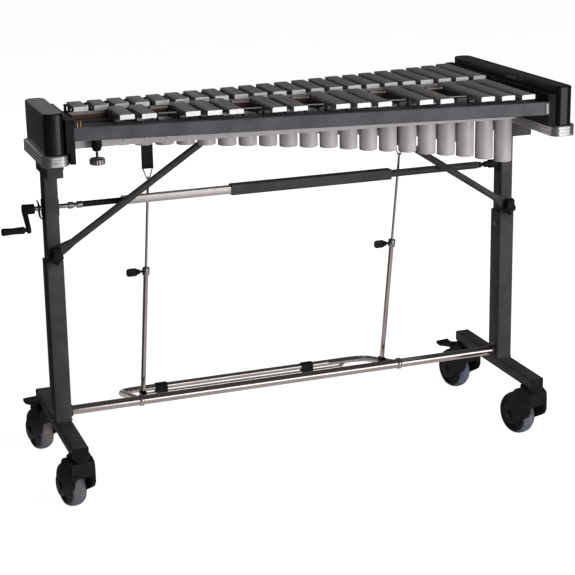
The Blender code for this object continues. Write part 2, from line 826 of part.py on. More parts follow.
def make_rods(build, looks, lift):
    for index, side in enumerate(("left", "right")):
        foot, top, direction = rod_frame(index)
        low = at_height(index, UPPER_ROD_END_Z)
        eye = ((0.003, -0.0015), (0.0055, -0.0015), (0.0055, 0.0015), (0.003, 0.0015))
        build.solid(
            f"{side}_upper_rod",
            looks["chrome"],
            lambda bm: add_rod(bm, low, top - 0.0045 * direction, UPPER_ROD_RADIUS, sides=10),
            origin=top,
            parent=lift,
            add=[lambda bm: turned(bm, eye, top, (1, 0, 0), 10, bored=True)],
        )
        start = foot + 0.002 * direction
        clamp = at_height(index, CLAMP_Z)
        length = (clamp - start).length + 0.008
        tube = ((LOWER_ROD_BORE, 0.010), (LOWER_ROD_RADIUS, 0.010))
        tube += ((LOWER_ROD_RADIUS, length - 0.016), (0.0085, length - 0.016))
        tube += ((0.0085, length), (LOWER_ROD_BORE, length))
        build.solid(
            f"{side}_lower_rod",
            looks["chrome"],
            lambda bm: turned(bm, tube, start, direction, 12, bored=True),
            origin=foot,
            add=[lambda bm: add_rod(bm, start, start + 0.012 * direction, LOWER_ROD_RADIUS, sides=12)],
        )
        hub = clamp + Vector((-0.0085 - GAP, 0, 0))
        shaft = ((0.003, 0.0), (0.003, 0.006), (0.006, 0.006), (0.006, 0.012))
        wing = rounded_rectangle(hub.x - 0.030, hub.x - 0.009, hub.z - 0.008, hub.z + 0.008, 0.004, steps=2)
        build.solid(
            f"{side}_rod_knob",
            looks["plastic"],
            lambda bm: turned(bm, shaft, hub, (-1, 0, 0), 10, bored=False),
            origin=hub,
            add=[lambda bm: add_prism(bm, wing, hub.y - 0.003, hub.y + 0.003, axis="y")],
        )
        yoke_half = 0.006
        block = (
            (foot.x - yoke_half, foot.y - 0.010, 0.1475),
            (foot.x + yoke_half, foot.y + 0.010, foot.z + 0.0010),
        )
        slot = ((foot.x - 0.02, foot.y - 0.0065, 0.1525), (foot.x + 0.02, foot.y + 0.0055, 0.1610))
        build.solid(
            f"{side}_rod_yoke",
            looks["plastic"],
            lambda bm: add_box(bm, *block),
            origin=(foot.x, foot.y, 0.157),
            cut=[lambda bm: add_box(bm, *slot)],
        )


def pedal_arm_z(y):
    return CROSSBAR_Z + (PEDAL_FAR_Z - CROSSBAR_Z) * y / PEDAL_FAR_Y


def make_pedal(build, look):
    left, right = PEDAL_X
    first = 0.014
    corners = [
        (left, first, pedal_arm_z(first)),
        (left, PEDAL_FAR_Y, PEDAL_FAR_Z),
        (right, PEDAL_FAR_Y, PEDAL_FAR_Z),
        (right, first, pedal_arm_z(first)),
    ]
    path = rounded_path(corners, PEDAL_CORNER)
    sleeve_bore, sleeve_radius, half = CROSSBAR_RADIUS + 0.0006, 0.0165, 0.011
    sleeve = ((sleeve_bore, -half), (sleeve_radius, -half), (sleeve_radius, half), (sleeve_bore, half))
    pins = []
    for index, x in enumerate((left, right)):
        foot = ROD_FEET[index]
        inward = foot[0] - 0.005 if x > foot[0] else foot[0] + 0.005
        pins.append(lambda bm, x=x, foot=foot, inward=inward: add_rod(
            bm, (x, foot[1], 0.1567), (inward, foot[1], 0.1567), 0.003, sides=8))
    build.solid(
        "pedal_frame",
        look,
        lambda bm: sweep(bm, path, PEDAL_RADIUS, sides=12),
        origin=(0, 0, CROSSBAR_Z),
        add=[
            lambda bm: turned(bm, sleeve, (left, 0, CROSSBAR_Z), (1, 0, 0), 20, bored=True),
            lambda bm: turned(bm, sleeve, (right, 0, CROSSBAR_Z), (1, 0, 0), 20, bored=True),
            pins,
        ],
    )


# ---------------------------------------------------------------- casters
def hull_outline(circles, steps=24):
    """The convex outline round several circles, each (a, b, radius)."""
    points = []
    for a, b, radius in circles:
        points += circle(radius, steps, centre=(a, b))
    points.sort()
    chains = []
    for ordered in (points, points[::-1]):
        chain = []
        for p in ordered:
            while len(chain) > 1 and turn(chain[-2], chain[-1], p) <= 1e-9:
                chain.pop()
            chain.append(p)
        chains.append(chain[:-1])
    return chains[0] + chains[1]


def turn(o, a, b):
    return (a[0] - o[0]) * (b[1] - o[1]) - (a[1] - o[1]) * (b[0] - o[0])


def make_caster(build, looks, name, stem_x, stem_y, braked):
    """A swivel caster, drawn about its stem with the wheel trailing along +Y, then turned."""
    stem = build.group(f"{name}_swivel_axis", (stem_x, stem_y, 0), turn=CASTER_TURN)
    axle = (CASTER_TRAIL, WHEEL_RADIUS)
    cheek = hull_outline(((axle[0], axle[1], 0.024), (0.004, 0.100, 0.026), (-0.006, 0.110, 0.018)), steps=16)
    half = 0.027
    slot_half = WHEEL_WIDTH / 2 + 0.003
    build.solid(
        f"{name}_fork",
        looks["plastic"],
        lambda bm: add_prism(bm, cheek, -half, half, axis="x"),
        parent=stem,
        add=[
            lambda bm: turned(bm, ((0.026, 0.090), (0.026, STEM_TOP)), (0, 0, 0), (0, 0, 1), 20, bored=False),
            lambda bm: add_box(bm, (-0.018, 0.010, 0.104), (0.018, 0.0405, 0.121)),
        ],
        cut=[
            lambda bm: add_rod(bm, (-slot_half, *axle), (slot_half, *axle), WHEEL_RADIUS + 0.004, sides=28),
            lambda bm: add_rod(bm, (-0.040, *axle), (0.040, *axle), AXLE_RADIUS + 0.0004, sides=10),
        ],
    )
    edge = 0.004
    wide = WHEEL_WIDTH / 2
    tread = ((WHEEL_RADIUS - edge, -wide), (WHEEL_RADIUS, -wide + edge), (WHEEL_RADIUS, wide - edge))
    tread += ((WHEEL_RADIUS - edge, wide),)
    build.solid(
        f"{name}_wheel",
        looks["tread"],
        lambda bm: turned(bm, tread, (0, *axle), (1, 0, 0), 32, bored=False),
        origin=(0, *axle),
        parent=stem,
        add=[lambda bm: add_rod(bm, (-half, *axle), (half, *axle), AXLE_RADIUS, sides=10)],
    )
    if braked:
        hinge = (0, 0.046, 0.1135)
        outline = [(0.046, 0.1085), (0.060, 0.106), (0.092, 0.099), (0.108, 0.104), (0.106, 0.110)]
        outline += [(0.090, 0.1065), (0.060, 0.1145), (0.046, 0.1185), (0.0425, 0.117), (0.041, 0.1135)]
        outline += [(0.0425, 0.110)]
        build.solid(
            f"{name}_brake_lever",
            looks["plastic"],
            lambda bm: add_prism(bm, outline, -0.018, 0.018, axis="x"),
            origin=hinge,
            parent=stem,
        )


def make_casters(build, looks):
    for side, sign, _ in sides():
        make_caster(build, looks, f"front_{side}_caster", sign * POST_X, FRONT_STEM_Y, False)
        make_caster(build, looks, f"rear_{side}_caster", sign * POST_X, REAR_STEM_Y, True)


def main():
    clear_scene()
    looks = {
        "coat": material("Charcoal powder coat", (0.055, 0.052, 0.058), 0.45, 0.2),
        "gloss": material("Gloss black plastic", (0.010, 0.010, 0.011), 0.12, 0.0),
        "plastic": material("Black plastic", (0.018, 0.018, 0.019), 0.45, 0.0),
        "aluminium": material("Bright aluminium", (0.82, 0.82, 0.83), 0.22, 1.0),
        "bar": material("Satin bar metal", (0.34, 0.32, 0.31), 0.30, 1.0),
        "resonator": material("Grey resonator enamel", (0.48, 0.46, 0.46), 0.35, 0.3),
        "chrome": material("Chrome", (0.75, 0.72, 0.71), 0.10, 1.0),
        "steel": material("Brushed steel", (0.45, 0.44, 0.45), 0.30, 1.0),
        "felt": material("Brown felt", (0.16, 0.075, 0.040), 0.95, 0.0),
        "tread": material("Grey rubber tread", (0.20, 0.23, 0.28), 0.60, 0.0),
    }
    build = Builder()
    lift = build.group("lift_axis")
    make_legs(build, looks)
    make_crossbar(build, looks["chrome"])
    make_casters(build, looks)
    make_columns(build, looks, lift)
    make_braces(build, looks, lift)
    make_frame(build, looks["coat"], lift)
    make_adjuster(build, looks["steel"], lift)
    make_ends(build, looks, lift)
    make_resonators(build, looks["resonator"], lift)
    make_accidentals(build, looks["bar"], lift)
    make_naturals(build, looks["bar"], lift)
    make_damper(build, looks, lift)
    make_drive(build, looks, lift)
    make_rods(build, looks, lift)
    make_pedal(build, looks["chrome"])


main()
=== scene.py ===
import math

import bmesh
import bpy
from mathutils import Matrix, Vector


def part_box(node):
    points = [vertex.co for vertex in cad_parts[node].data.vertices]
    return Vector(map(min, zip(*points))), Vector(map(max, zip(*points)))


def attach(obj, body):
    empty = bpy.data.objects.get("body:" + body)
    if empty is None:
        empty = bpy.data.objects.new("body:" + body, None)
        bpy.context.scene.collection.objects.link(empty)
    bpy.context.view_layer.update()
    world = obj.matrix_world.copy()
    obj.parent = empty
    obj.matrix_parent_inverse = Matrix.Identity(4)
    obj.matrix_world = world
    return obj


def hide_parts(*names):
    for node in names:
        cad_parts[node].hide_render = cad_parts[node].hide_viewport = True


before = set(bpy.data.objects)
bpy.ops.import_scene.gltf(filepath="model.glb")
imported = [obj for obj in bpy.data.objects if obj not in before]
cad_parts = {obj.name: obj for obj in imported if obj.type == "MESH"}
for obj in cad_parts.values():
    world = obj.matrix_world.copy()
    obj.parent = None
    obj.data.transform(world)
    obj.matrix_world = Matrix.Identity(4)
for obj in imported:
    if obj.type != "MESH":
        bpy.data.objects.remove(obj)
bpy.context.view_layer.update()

# The finished look of a three-octave concert bell keyboard on its crank-lift stand, built round its packed
# frame. Pieces are drawn in metres from the stand's centre, at floor level.

# The stand's centre plane and centre line, which every piece here is laid out from.
BAR_LOW, BAR_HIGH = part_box("crossbar")
CENTRE = Vector(((BAR_LOW.x + BAR_HIGH.x) / 2, (BAR_LOW.y + BAR_HIGH.y) / 2, 0))


def local_box(node):
    """A node's lowest and highest corners, measured from the stand's centre."""
    low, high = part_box(node)
    return low - CENTRE, high - CENTRE


# ---------------------------------------------------------------- mesh building
def loft(bm, rings, closed=False, look=0):
    """Joins rings of equal count by quads. Open lofts get end caps."""
    loops = [[bm.verts.new(point) for point in ring] for ring in rings]
    pairs = list(zip(loops, loops[1:]))
    if closed:
        pairs.append((loops[-1], loops[0]))
    made = []
    for low, high in pairs:
        for i in range(len(low)):
            j = (i + 1) % len(low)
            made.append(bm.faces.new((low[i], low[j], high[j], high[i])))
    if not closed:
        made.append(bm.faces.new(loops[0]))
        made.append(bm.faces.new(loops[-1]))
    for face in made:
        face.material_index = look
    return made


def add_box(bm, low, high, look=0):
    (x0, y0, z0), (x1, y1, z1) = low, high
    ring = ((x0, y0), (x1, y0), (x1, y1), (x0, y1))
    return loft(bm, [[(x, y, z) for x, y in ring] for z in (z0, z1)], look=look)


def add_prism(bm, outline, low, high, axis="z", look=0):
    """Extrudes a 2-D outline along one axis. Its points are on the other two axes, in x, y, z order."""
    place = {
        "x": lambda a, b, t: (t, a, b),
        "y": lambda a, b, t: (a, t, b),
        "z": lambda a, b, t: (a, b, t),
    }[axis]
    return loft(bm, [[place(a, b, t) for a, b in outline] for t in (low, high)], look=look)


def circle(radius, sides, centre=(0, 0), start=0.0):
    step = 2 * math.pi / sides
    return [
        (centre[0] + radius * math.cos(start + i * step), centre[1] + radius * math.sin(start + i * step))
        for i in range(sides)
    ]


def rounded_rectangle(x0, x1, y0, y1, radius, steps=6):
    corners = (
        (x1 - radius, y1 - radius, 0),
        (x0 + radius, y1 - radius, 1),
        (x0 + radius, y0 + radius, 2),
        (x1 - radius, y0 + radius, 3),
    )
    points = []
    for cx, cy, quarter in corners:
        for i in range(steps + 1):
            angle = (quarter + i / steps) * math.pi / 2
            points.append((cx + radius * math.cos(angle), cy + radius * math.sin(angle)))
    return points


def sweep(bm, path, radii, sides=16, look=0, closed=False):
    """A round rod along a path, its cross-section carried from point to point without twist."""
    points = [Vector(p) for p in path]
    if not hasattr(radii, "__len__"):
        radii = [radii] * len(points)
    if closed:
        tangents = [(points[(i + 1) % len(points)] - points[i - 1]).normalized() for i in range(len(points))]
    else:
        directions = [(b - a).normalized() for a, b in zip(points, points[1:])]
        tangents = [directions[0]]
        tangents += [(a + b).normalized() for a, b in zip(directions, directions[1:])]
        tangents.append(directions[-1])
    side = tangents[0].orthogonal().normalized()
    rings = []
    for point, tangent, radius in zip(points, tangents, radii):
        side = (side - side.dot(tangent) * tangent).normalized()
        other = tangent.cross(side)
        rings.append([point + a * side + b * other for a, b in circle(radius, sides)])
    loft(bm, rings, closed=closed, look=look)


def turned(bm, profile, centre, axis=(0, 0, 1), sides=32, bored=False, look=0):
    """Revolves (radius, distance) points about an axis through centre. A bored profile closes on itself."""
    axis = Vector(axis).normalized()
    side = axis.orthogonal().normalized()
    other = axis.cross(side)
    rings = []
    for radius, distance in profile:
        middle = Vector(centre) + distance * axis
        rings.append([middle + a * side + b * other for a, b in circle(radius, sides)])
    return loft(bm, rings, closed=bored, look=look)


def rounded_path(corners, radius, steps=10):
    """A path through corners with an arc of the given radius at each inner one."""
    points = [Vector(corners[0])]
    for before, at, after in zip(corners, corners[1:], corners[2:]):
        at = Vector(at)
        back = (Vector(before) - at).normalized()
        on = (Vector(after) - at).normalized()
        half = back.angle(on) / 2
        centre = at + (back + on).normalized() * radius / math.sin(half)
        start = (at + back * radius / math.tan(half) - centre).normalized()
        end = (at + on * radius / math.tan(half) - centre).normalized()
        for i in range(steps + 1):
            points.append(centre + start.slerp(end, i / steps) * radius)
    points.append(Vector(corners[-1]))
    return points


def hex_bolt(bm, centre, axis, radius=0.005, height=0.004, look=0):
    """A cap screw head with its socket and a washer under it."""
    turned(bm, ((radius * 1.35, 0), (radius * 1.35, height * 0.25)), centre, axis, 24, look=look)
    profile = ((radius, height * 0.2), (radius, height * 0.8), (radius * 0.85, height))
    profile += ((radius * 0.5, height), (radius * 0.45, height * 0.5))
    turned(bm, profile, centre, axis, 24, look=look)


def piece(name, draw, looks, body, replaces=(), bevel=0.0, segments=2, sharp=35):
    """One shown piece: drawn from the stand's centre, shaded, bevelled and set riding on its body."""
    bm = bmesh.new()
    for step in draw if isinstance(draw, (list, tuple)) else [draw]:
        step(bm)
    bmesh.ops.recalc_face_normals(bm, faces=bm.faces)
    bmesh.ops.translate(bm, verts=bm.verts, vec=CENTRE)
    mesh = bpy.data.meshes.new(name)
    bm.to_mesh(mesh)
    bm.free()
    for look in looks if isinstance(looks, (list, tuple)) else [looks]:
        mesh.materials.append(look)
    made = bpy.data.objects.new(name, mesh)
    bpy.context.scene.collection.objects.link(made)
    mesh.shade_smooth()
    mesh.set_sharp_from_angle(angle=math.radians(sharp))
    if bevel:
        modifier = made.modifiers.new("Edge rounding", "BEVEL")
        modifier.width = bevel
        modifier.segments = segments
        modifier.limit_method = "ANGLE"
        modifier.angle_limit = math.radians(sharp)
        modifier.harden_normals = True
    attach(made, body)
    if replaces:
        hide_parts(*([replaces] if isinstance(replaces, str) else replaces))
    return made


# ---------------------------------------------------------------- materials
class Look:
    """A Principled material with noise-driven colour, roughness and bump."""

    def __init__(self, name, roughness, metallic=0.0, coat=0.0, sheen=0.0, specular=0.5):
        self.material = bpy.data.materials.new(name)
        self.material.use_nodes = True
        self.nodes = self.material.node_tree.nodes
        self.links = self.material.node_tree.links
        self.shader = self.nodes["Principled BSDF"]
        self.shader.inputs["Roughness"].default_value = roughness
        self.shader.inputs["Metallic"].default_value = metallic
        self.shader.inputs["Coat Weight"].default_value = coat
        self.shader.inputs["Coat Roughness"].default_value = 0.08
        self.shader.inputs["Sheen Weight"].default_value = sheen
        self.shader.inputs["Specular IOR Level"].default_value = specular
        self.coordinates = self.nodes.new("ShaderNodeTexCoord")

    def noise(self, scale, stretch=(1, 1, 1), detail=4.0, roughness=0.55):
        mapping = self.nodes.new("ShaderNodeMapping")
        mapping.inputs["Scale"].default_value = stretch
        self.links.new(self.coordinates.outputs["Object"], mapping.inputs["Vector"])
        noise = self.nodes.new("ShaderNodeTexNoise")
        noise.inputs["Scale"].default_value = scale
        noise.inputs["Detail"].default_value = detail
        noise.inputs["Roughness"].default_value = roughness
        self.links.new(mapping.outputs["Vector"], noise.inputs["Vector"])
        return noise.outputs["Fac"]

    def ramp(self, source, low, high, start=0.35, end=0.65):
        ramp = self.nodes.new("ShaderNodeValToRGB")
        ramp.color_ramp.elements[0].position = start
        ramp.color_ramp.elements[1].position = end
        for element, value in zip(ramp.color_ramp.elements, (low, high)):
            element.color = (*value, 1) if hasattr(value, "__len__") else (value, value, value, 1)
        self.links.new(source, ramp.inputs["Fac"])
        return ramp.outputs["Color"]

    def mix(self, factor, first, second):
        mix = self.nodes.new("ShaderNodeMix")
        mix.data_type = "RGBA"
        self.links.new(factor, mix.inputs[0])
        self.links.new(first, mix.inputs[6])
        self.links.new(second, mix.inputs[7])
        return mix.outputs[2]

    def colour(self, source):
        self.links.new(source, self.shader.inputs["Base Color"])
        return self

    def rough(self, source):
        self.links.new(source, self.shader.inputs["Roughness"])
        return self

    def glow(self, colour, strength):
        self.shader.inputs["Emission Color"].default_value = (*colour, 1)
        self.shader.inputs["Emission Strength"].default_value = strength
        return self

    def bump(self, source, strength, distance=0.001):
        bump = self.nodes.new("ShaderNodeBump")
        bump.inputs["Strength"].default_value = strength
        bump.inputs["Distance"].default_value = distance
        self.links.new(source, bump.inputs["Height"])
        before = self.shader.inputs["Normal"].links
        if before:
            self.links.new(before[0].from_socket, bump.inputs["Normal"])
        self.links.new(bump.outputs["Normal"], self.shader.inputs["Normal"])
        return self


def powder_coat(name="charcoal powder coat", low=(0.034, 0.031, 0.033), high=(0.052, 0.048, 0.051)):
    look = Look(name, 0.45, specular=0.22)
    look.colour(look.ramp(look.noise(22, detail=5), low, high))
    look.rough(look.ramp(look.noise(60, detail=6), 0.36, 0.50))
    look.bump(look.noise(1400, detail=2), 0.12, 0.0004)
    look.bump(look.noise(260, detail=3), 0.06, 0.0006)
    return look.material


def gloss_black():
    look = Look("gloss black shell", 0.10, coat=0.15, specular=0.42)
    look.colour(look.ramp(look.noise(8), (0.0035, 0.0035, 0.0038), (0.0065, 0.0062, 0.0065)))
    look.rough(look.ramp(look.noise(90, detail=8), 0.10, 0.22))
    look.bump(look.noise(700, stretch=(1, 0.2, 1), detail=3), 0.025, 0.0003)
    return look.material


def moulded_plastic(
    name="black moulded plastic", low=(0.0050, 0.0048, 0.0050), high=(0.0100, 0.0098, 0.0104)
):
    look = Look(name, 0.44, specular=0.16)
    look.colour(look.ramp(look.noise(40), low, high))
    look.rough(look.ramp(look.noise(120, detail=6), 0.34, 0.52))
    look.bump(look.noise(2200, detail=2), 0.10, 0.0003)
    return look.material


def bar_metal():
    look = Look("satin bar metal", 0.36, metallic=0.35, specular=0.4)
    grain = look.noise(900, stretch=(1, 0.012, 1), detail=3)
    clouds = look.noise(14, detail=5)
    streaks = look.ramp(grain, (0.230, 0.217, 0.210), (0.310, 0.295, 0.286), 0.3, 0.7)
    worn = look.ramp(grain, (0.265, 0.252, 0.245), (0.355, 0.340, 0.330), 0.3, 0.7)
    look.colour(look.mix(look.ramp(clouds, 0.0, 1.0, 0.40, 0.62), streaks, worn))
    look.rough(look.ramp(look.noise(70, stretch=(1, 0.15, 1), detail=6), 0.27, 0.42))
    look.bump(grain, 0.06, 0.0003)
    return look.material


def milled_metal():
    look = Look("milled bar end", 0.42, metallic=0.55)
    lines = look.noise(1500, stretch=(0.02, 1, 1), detail=2)
    look.colour(look.ramp(lines, (0.76, 0.76, 0.77), (0.92, 0.92, 0.93), 0.3, 0.7))
    look.rough(look.ramp(look.noise(200, detail=4), 0.36, 0.48))
    look.bump(lines, 0.03, 0.0002)
    return look.material


def extruded_aluminium():
    look = Look("extruded aluminium", 0.30, metallic=1.0)
    lines = look.noise(1800, stretch=(0.03, 0.03, 1), detail=2)
    look.colour(look.ramp(lines, (0.74, 0.74, 0.75), (0.82, 0.82, 0.83), 0.3, 0.7))
    look.rough(look.ramp(look.noise(60, detail=5), 0.32, 0.40))
    look.bump(lines, 0.004, 0.0001)
    return look.material


def chrome_plate():
    look = Look("chrome plate", 0.13, metallic=1.0)
    look.colour(look.ramp(look.noise(18, detail=5), (0.66, 0.615, 0.60), (0.76, 0.72, 0.705)))
    look.rough(look.ramp(look.noise(60, detail=5), 0.11, 0.17))
    look.bump(look.noise(500, detail=2), 0.004, 0.0002)
    return look.material


def brushed_steel():
    look = Look("brushed steel", 0.30, metallic=1.0)
    lines = look.noise(1300, stretch=(0.015, 1, 1), detail=3)
    look.colour(look.ramp(lines, (0.52, 0.50, 0.49), (0.62, 0.60, 0.59), 0.3, 0.7))
    look.rough(look.ramp(look.noise(80, detail=5), 0.29, 0.34))
    look.bump(lines, 0.01, 0.0001)
    return look.material


def resonator_enamel():
    look = Look("pale grey enamel", 0.36, coat=0.15)
    look.colour(look.ramp(look.noise(26, detail=5), (0.430, 0.400, 0.412), (0.490, 0.460, 0.470)))
    look.rough(look.ramp(look.noise(75, detail=6), 0.30, 0.44))
    look.bump(look.noise(1100, detail=2), 0.06, 0.0003)
    return look.material


def tread_rubber():
    look = Look("blue-grey rubber tread", 0.55)
    cool = look.ramp(look.noise(60, detail=6), (0.070, 0.084, 0.120), (0.115, 0.130, 0.170))
    warm = look.ramp(look.noise(90, detail=6), (0.100, 0.088, 0.082), (0.165, 0.145, 0.132))
    patches = look.ramp(look.noise(22, stretch=(1, 1, 0.5), detail=3), 0.0, 1.0, 0.44, 0.60)
    look.colour(look.mix(patches, cool, warm))
    look.rough(look.ramp(look.noise(140, detail=5), 0.48, 0.68))
    look.bump(look.noise(800, detail=4), 0.15, 0.0004)
    return look.material


def brown_felt():
    look = Look("brown felt", 0.95, sheen=0.4, specular=0.2)
    fibres = look.noise(1500, detail=8, roughness=0.75)
    look.colour(look.ramp(fibres, (0.030, 0.015, 0.010), (0.085, 0.048, 0.033), 0.3, 0.7))
    look.rough(look.ramp(look.noise(300, detail=4), 0.88, 1.0))
    look.bump(fibres, 0.8, 0.0008)
    return look.material


def braided_cord():
    look = Look("braided cord", 0.85, specular=0.2)
    weave = look.noise(2600, stretch=(0.45, 1, 1), detail=3)
    look.colour(look.ramp(weave, (0.12, 0.115, 0.11), (0.30, 0.29, 0.28), 0.35, 0.65))
    look.rough(look.ramp(look.noise(400), 0.78, 0.92))
    look.bump(weave, 0.6, 0.0005)
    return look.material


def brass():
    look = Look("brass hardware", 0.25, metallic=1.0)
    look.colour(look.ramp(look.noise(90, detail=5), (0.55, 0.33, 0.13), (0.78, 0.56, 0.30)))
    look.rough(look.ramp(look.noise(200, detail=5), 0.18, 0.36))
    look.bump(look.noise(700), 0.05, 0.0002)
    return look.material


def zinc():
    look = Look("zinc-plated hardware", 0.30, metallic=1.0)
    look.colour(look.ramp(look.noise(120, detail=5), (0.40, 0.40, 0.41), (0.62, 0.62, 0.64)))
    look.rough(look.ramp(look.noise(260, detail=5), 0.24, 0.42))
    look.bump(look.noise(900), 0.06, 0.0002)
    return look.material


COAT = powder_coat()
FRAME_COAT = powder_coat("blue-grey powder coat", (0.060, 0.060, 0.070), (0.086, 0.086, 0.098))
GLOSS = gloss_black()
PLASTIC = moulded_plastic()
SOFT_PLASTIC = moulded_plastic("dark grey spacer plastic", (0.010, 0.010, 0.011), (0.022, 0.021, 0.023))
BAR = bar_metal()
MILLED = milled_metal()
ALUMINIUM = extruded_aluminium()
CHROME = chrome_plate()
STEEL = brushed_steel()
ENAMEL = resonator_enamel()
TREAD = tread_rubber()
FELT = brown_felt()
CORD = braided_cord()
BRASS = brass()
ZINC = zinc()

# ---------------------------------------------------------------- keyboard layout, read back from the frame
ACCIDENTALS = sorted(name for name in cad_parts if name.startswith("accidental_bar_"))
LOW_BAR, HIGH_BAR = local_box(ACCIDENTALS[0]), local_box(ACCIDENTALS[-1])
BAR_WIDTH = LOW_BAR[1].x - LOW_BAR[0].x
BAR_BOTTOM, BAR_TOP = LOW_BAR[0].z, LOW_BAR[1].z
SLOTS = 20
NATURALS = 22
PITCH = (LOW_BAR[0].x - HIGH_BAR[0].x) / (SLOTS - 1)
FIRST_SLOT_X = HIGH_BAR[0].x + BAR_WIDTH / 2
ACCIDENTAL_SLOTS = (0, 1, 3, 4, 5, 7, 8, 10, 11, 12, 14, 15, 17, 18, 19)
SCALE_STEPS = (0, 2, 4, 6, 7, 9, 11)
SEMITONES_PER_HALVING = 24
NODE_RATIO = 0.224
LOW_NATURALS = local_box("natural_bars_low")
NATURAL_FRONT_Y = LOW_NATURALS[0].y
LOW_NATURAL = LOW_NATURALS[1].y - LOW_NATURALS[0].y
CORD_Z = (BAR_BOTTOM + BAR_TOP) / 2
CORD_RADIUS = 0.0013


def slot_x(slot):
    return FIRST_SLOT_X + PITCH * slot


def natural_x(natural):
    return FIRST_SLOT_X + PITCH * (natural - 1.5)


def natural_semitone(natural):
    steps = NATURALS - 1 - natural
    return SCALE_STEPS[steps % 7] + 12 * (steps // 7)


def between(x, low, high):
    """A value that runs straight along the accidental row, from its high bar to its low one."""
    share = (x - slot_x(0)) / (slot_x(SLOTS - 1) - slot_x(0))
    return high + (low - high) * share


def accidental_front(x):
    return between(x, LOW_BAR[0].y, HIGH_BAR[0].y)


def accidental_length(x):
    return between(x, LOW_BAR[1].y - LOW_BAR[0].y, HIGH_BAR[1].y - HIGH_BAR[0].y)


def natural_length(natural):
    natural = min(max(natural, 0), NATURALS - 1)
    whole = math.floor(natural)
    above = min(whole + 1, NATURALS - 1)
    semitone = natural_semitone(whole)
    semitone += (natural_semitone(above) - semitone) * (natural - whole)
    return LOW_NATURAL * 2 ** (-semitone / SEMITONES_PER_HALVING)


def accidental_node_y(x, rear):
    return accidental_front(x) + (1 - NODE_RATIO if rear else NODE_RATIO) * accidental_length(x)


def natural_node_y(natural, rear):
    return NATURAL_FRONT_Y + (1 - NODE_RATIO if rear else NODE_RATIO) * natural_length(natural)


def draw_bar(x, front, length):
    """A tuned bar: satin top and sides, milled ends, an arch cut under its middle and two cord holes, each
    shown as a thin black disc on both sides: painted shade in place of a real hole.
    """
    half = BAR_WIDTH / 2
    chamfer = 0.0016
    arch = 0.0028
    stations = 24

    def draw(bm):
        rings = []
        for i in range(stations + 1):
            share = i / stations
            y = front + length * share
            inside = (share - 0.30) / 0.40
            lift = arch * math.sin(math.pi * inside) if 0 < inside < 1 else 0
            bottom = BAR_BOTTOM + lift
            outline = (
                (x - half, bottom),
                (x + half, bottom),
                (x + half, BAR_TOP - chamfer),
                (x + half - chamfer * 0.4, BAR_TOP - chamfer * 0.35),
                (x + half - chamfer, BAR_TOP),
                (x - half + chamfer, BAR_TOP),
                (x - half + chamfer * 0.4, BAR_TOP - chamfer * 0.35),
                (x - half, BAR_TOP - chamfer),
            )
            rings.append([(px, y, pz) for px, pz in outline])
        made = loft(bm, rings)
        for end in made[-2:]:
            end.material_index = 1
        # The cord holes are not cut: a black disc on each side of the bar is painted shade standing in for
        # the dark hole.
        for ratio in (NODE_RATIO, 1 - NODE_RATIO):
            for sign in (-1, 1):
                at = (x + sign * (half + 0.0001), front + ratio * length, CORD_Z)
                turned(bm, ((0.0027, 0), (0.0027, -sign * 0.0002)), at, (1, 0, 0), 16, look=2)

    return draw


def make_bars():
    looks = [BAR, MILLED, PLASTIC]
    for name, slot in zip(ACCIDENTALS, reversed(ACCIDENTAL_SLOTS)):
        x = slot_x(slot)
        draw = draw_bar(x, accidental_front(x), accidental_length(x))
        piece(f"tuned_{name}", draw, looks, "keyboard", name, bevel=0.0005)
    for natural in range(NATURALS):
        name = f"tuned_natural_bar_{NATURALS - natural:02d}"
        draw = draw_bar(natural_x(natural), NATURAL_FRONT_Y, natural_length(natural))
        stands_for = {0: "natural_bars_high", NATURALS - 1: "natural_bars_low"}.get(natural, ())
        piece(name, draw, looks, "keyboard", stands_for, bevel=0.0005)


# ---------------------------------------------------------------- keyboard frame
LEFT_CAP, RIGHT_CAP = local_box("left_end_cap"), local_box("right_end_cap")
LEFT_BAND, RIGHT_BAND = local_box("left_end_band"), local_box("right_end_band")
PLATE_INNER = 0.506
RAIL_BOTTOM, RAIL_TOP = 0.800, 0.828
RAIL_DEPTH = 0.014
STRIP_THICKNESS = 0.006
STRIP_BOTTOM = 0.806
PLATE_BOTTOM = 0.752
FIT_GAP = 0.0003
TIE_X = 0.163
TIE_HALF = 0.010
TIE_TOP = 0.807
LUG_FRONT, LUG_BACK, LUG_BOTTOM = -0.0287, -0.0247, 0.776
FRONT_RAIL_Y, FRONT_RAIL_SLOPE = -0.195, -0.1458
REAR_RAIL_Y, REAR_RAIL_SLOPE = 0.156, 0.146
ADJUSTER_X, ADJUSTER_Y = -0.460, -0.112


def front_rail_y(x):
    return FRONT_RAIL_Y + FRONT_RAIL_SLOPE * x


def rear_rail_y(x):
    return REAR_RAIL_Y + REAR_RAIL_SLOPE * x


def add_strip(bm, points, thickness, bottom, top, look=0):
    ring = [(x, y - thickness / 2) for x, y in points]
    ring += [(x, y + thickness / 2) for x, y in reversed(points)]
    add_prism(bm, ring, bottom, top, look=look)


def draw_rail(bm, line, sign):
    """A long outer rail of channel section, open below, with its lip turned inwards."""
    ends = (-PLATE_INNER - 0.003, PLATE_INNER + 0.003)
    wall = 0.003
    outer = sign * RAIL_DEPTH
    section = (
        (0, RAIL_BOTTOM),
        (outer * wall / RAIL_DEPTH, RAIL_BOTTOM),
        (outer * wall / RAIL_DEPTH, RAIL_TOP - wall),
        (outer, RAIL_TOP - wall),
        (outer, RAIL_TOP),
        (0, RAIL_TOP),
    )
    loft(bm, [[(x, line(x) + a, z) for a, z in section] for x in ends])


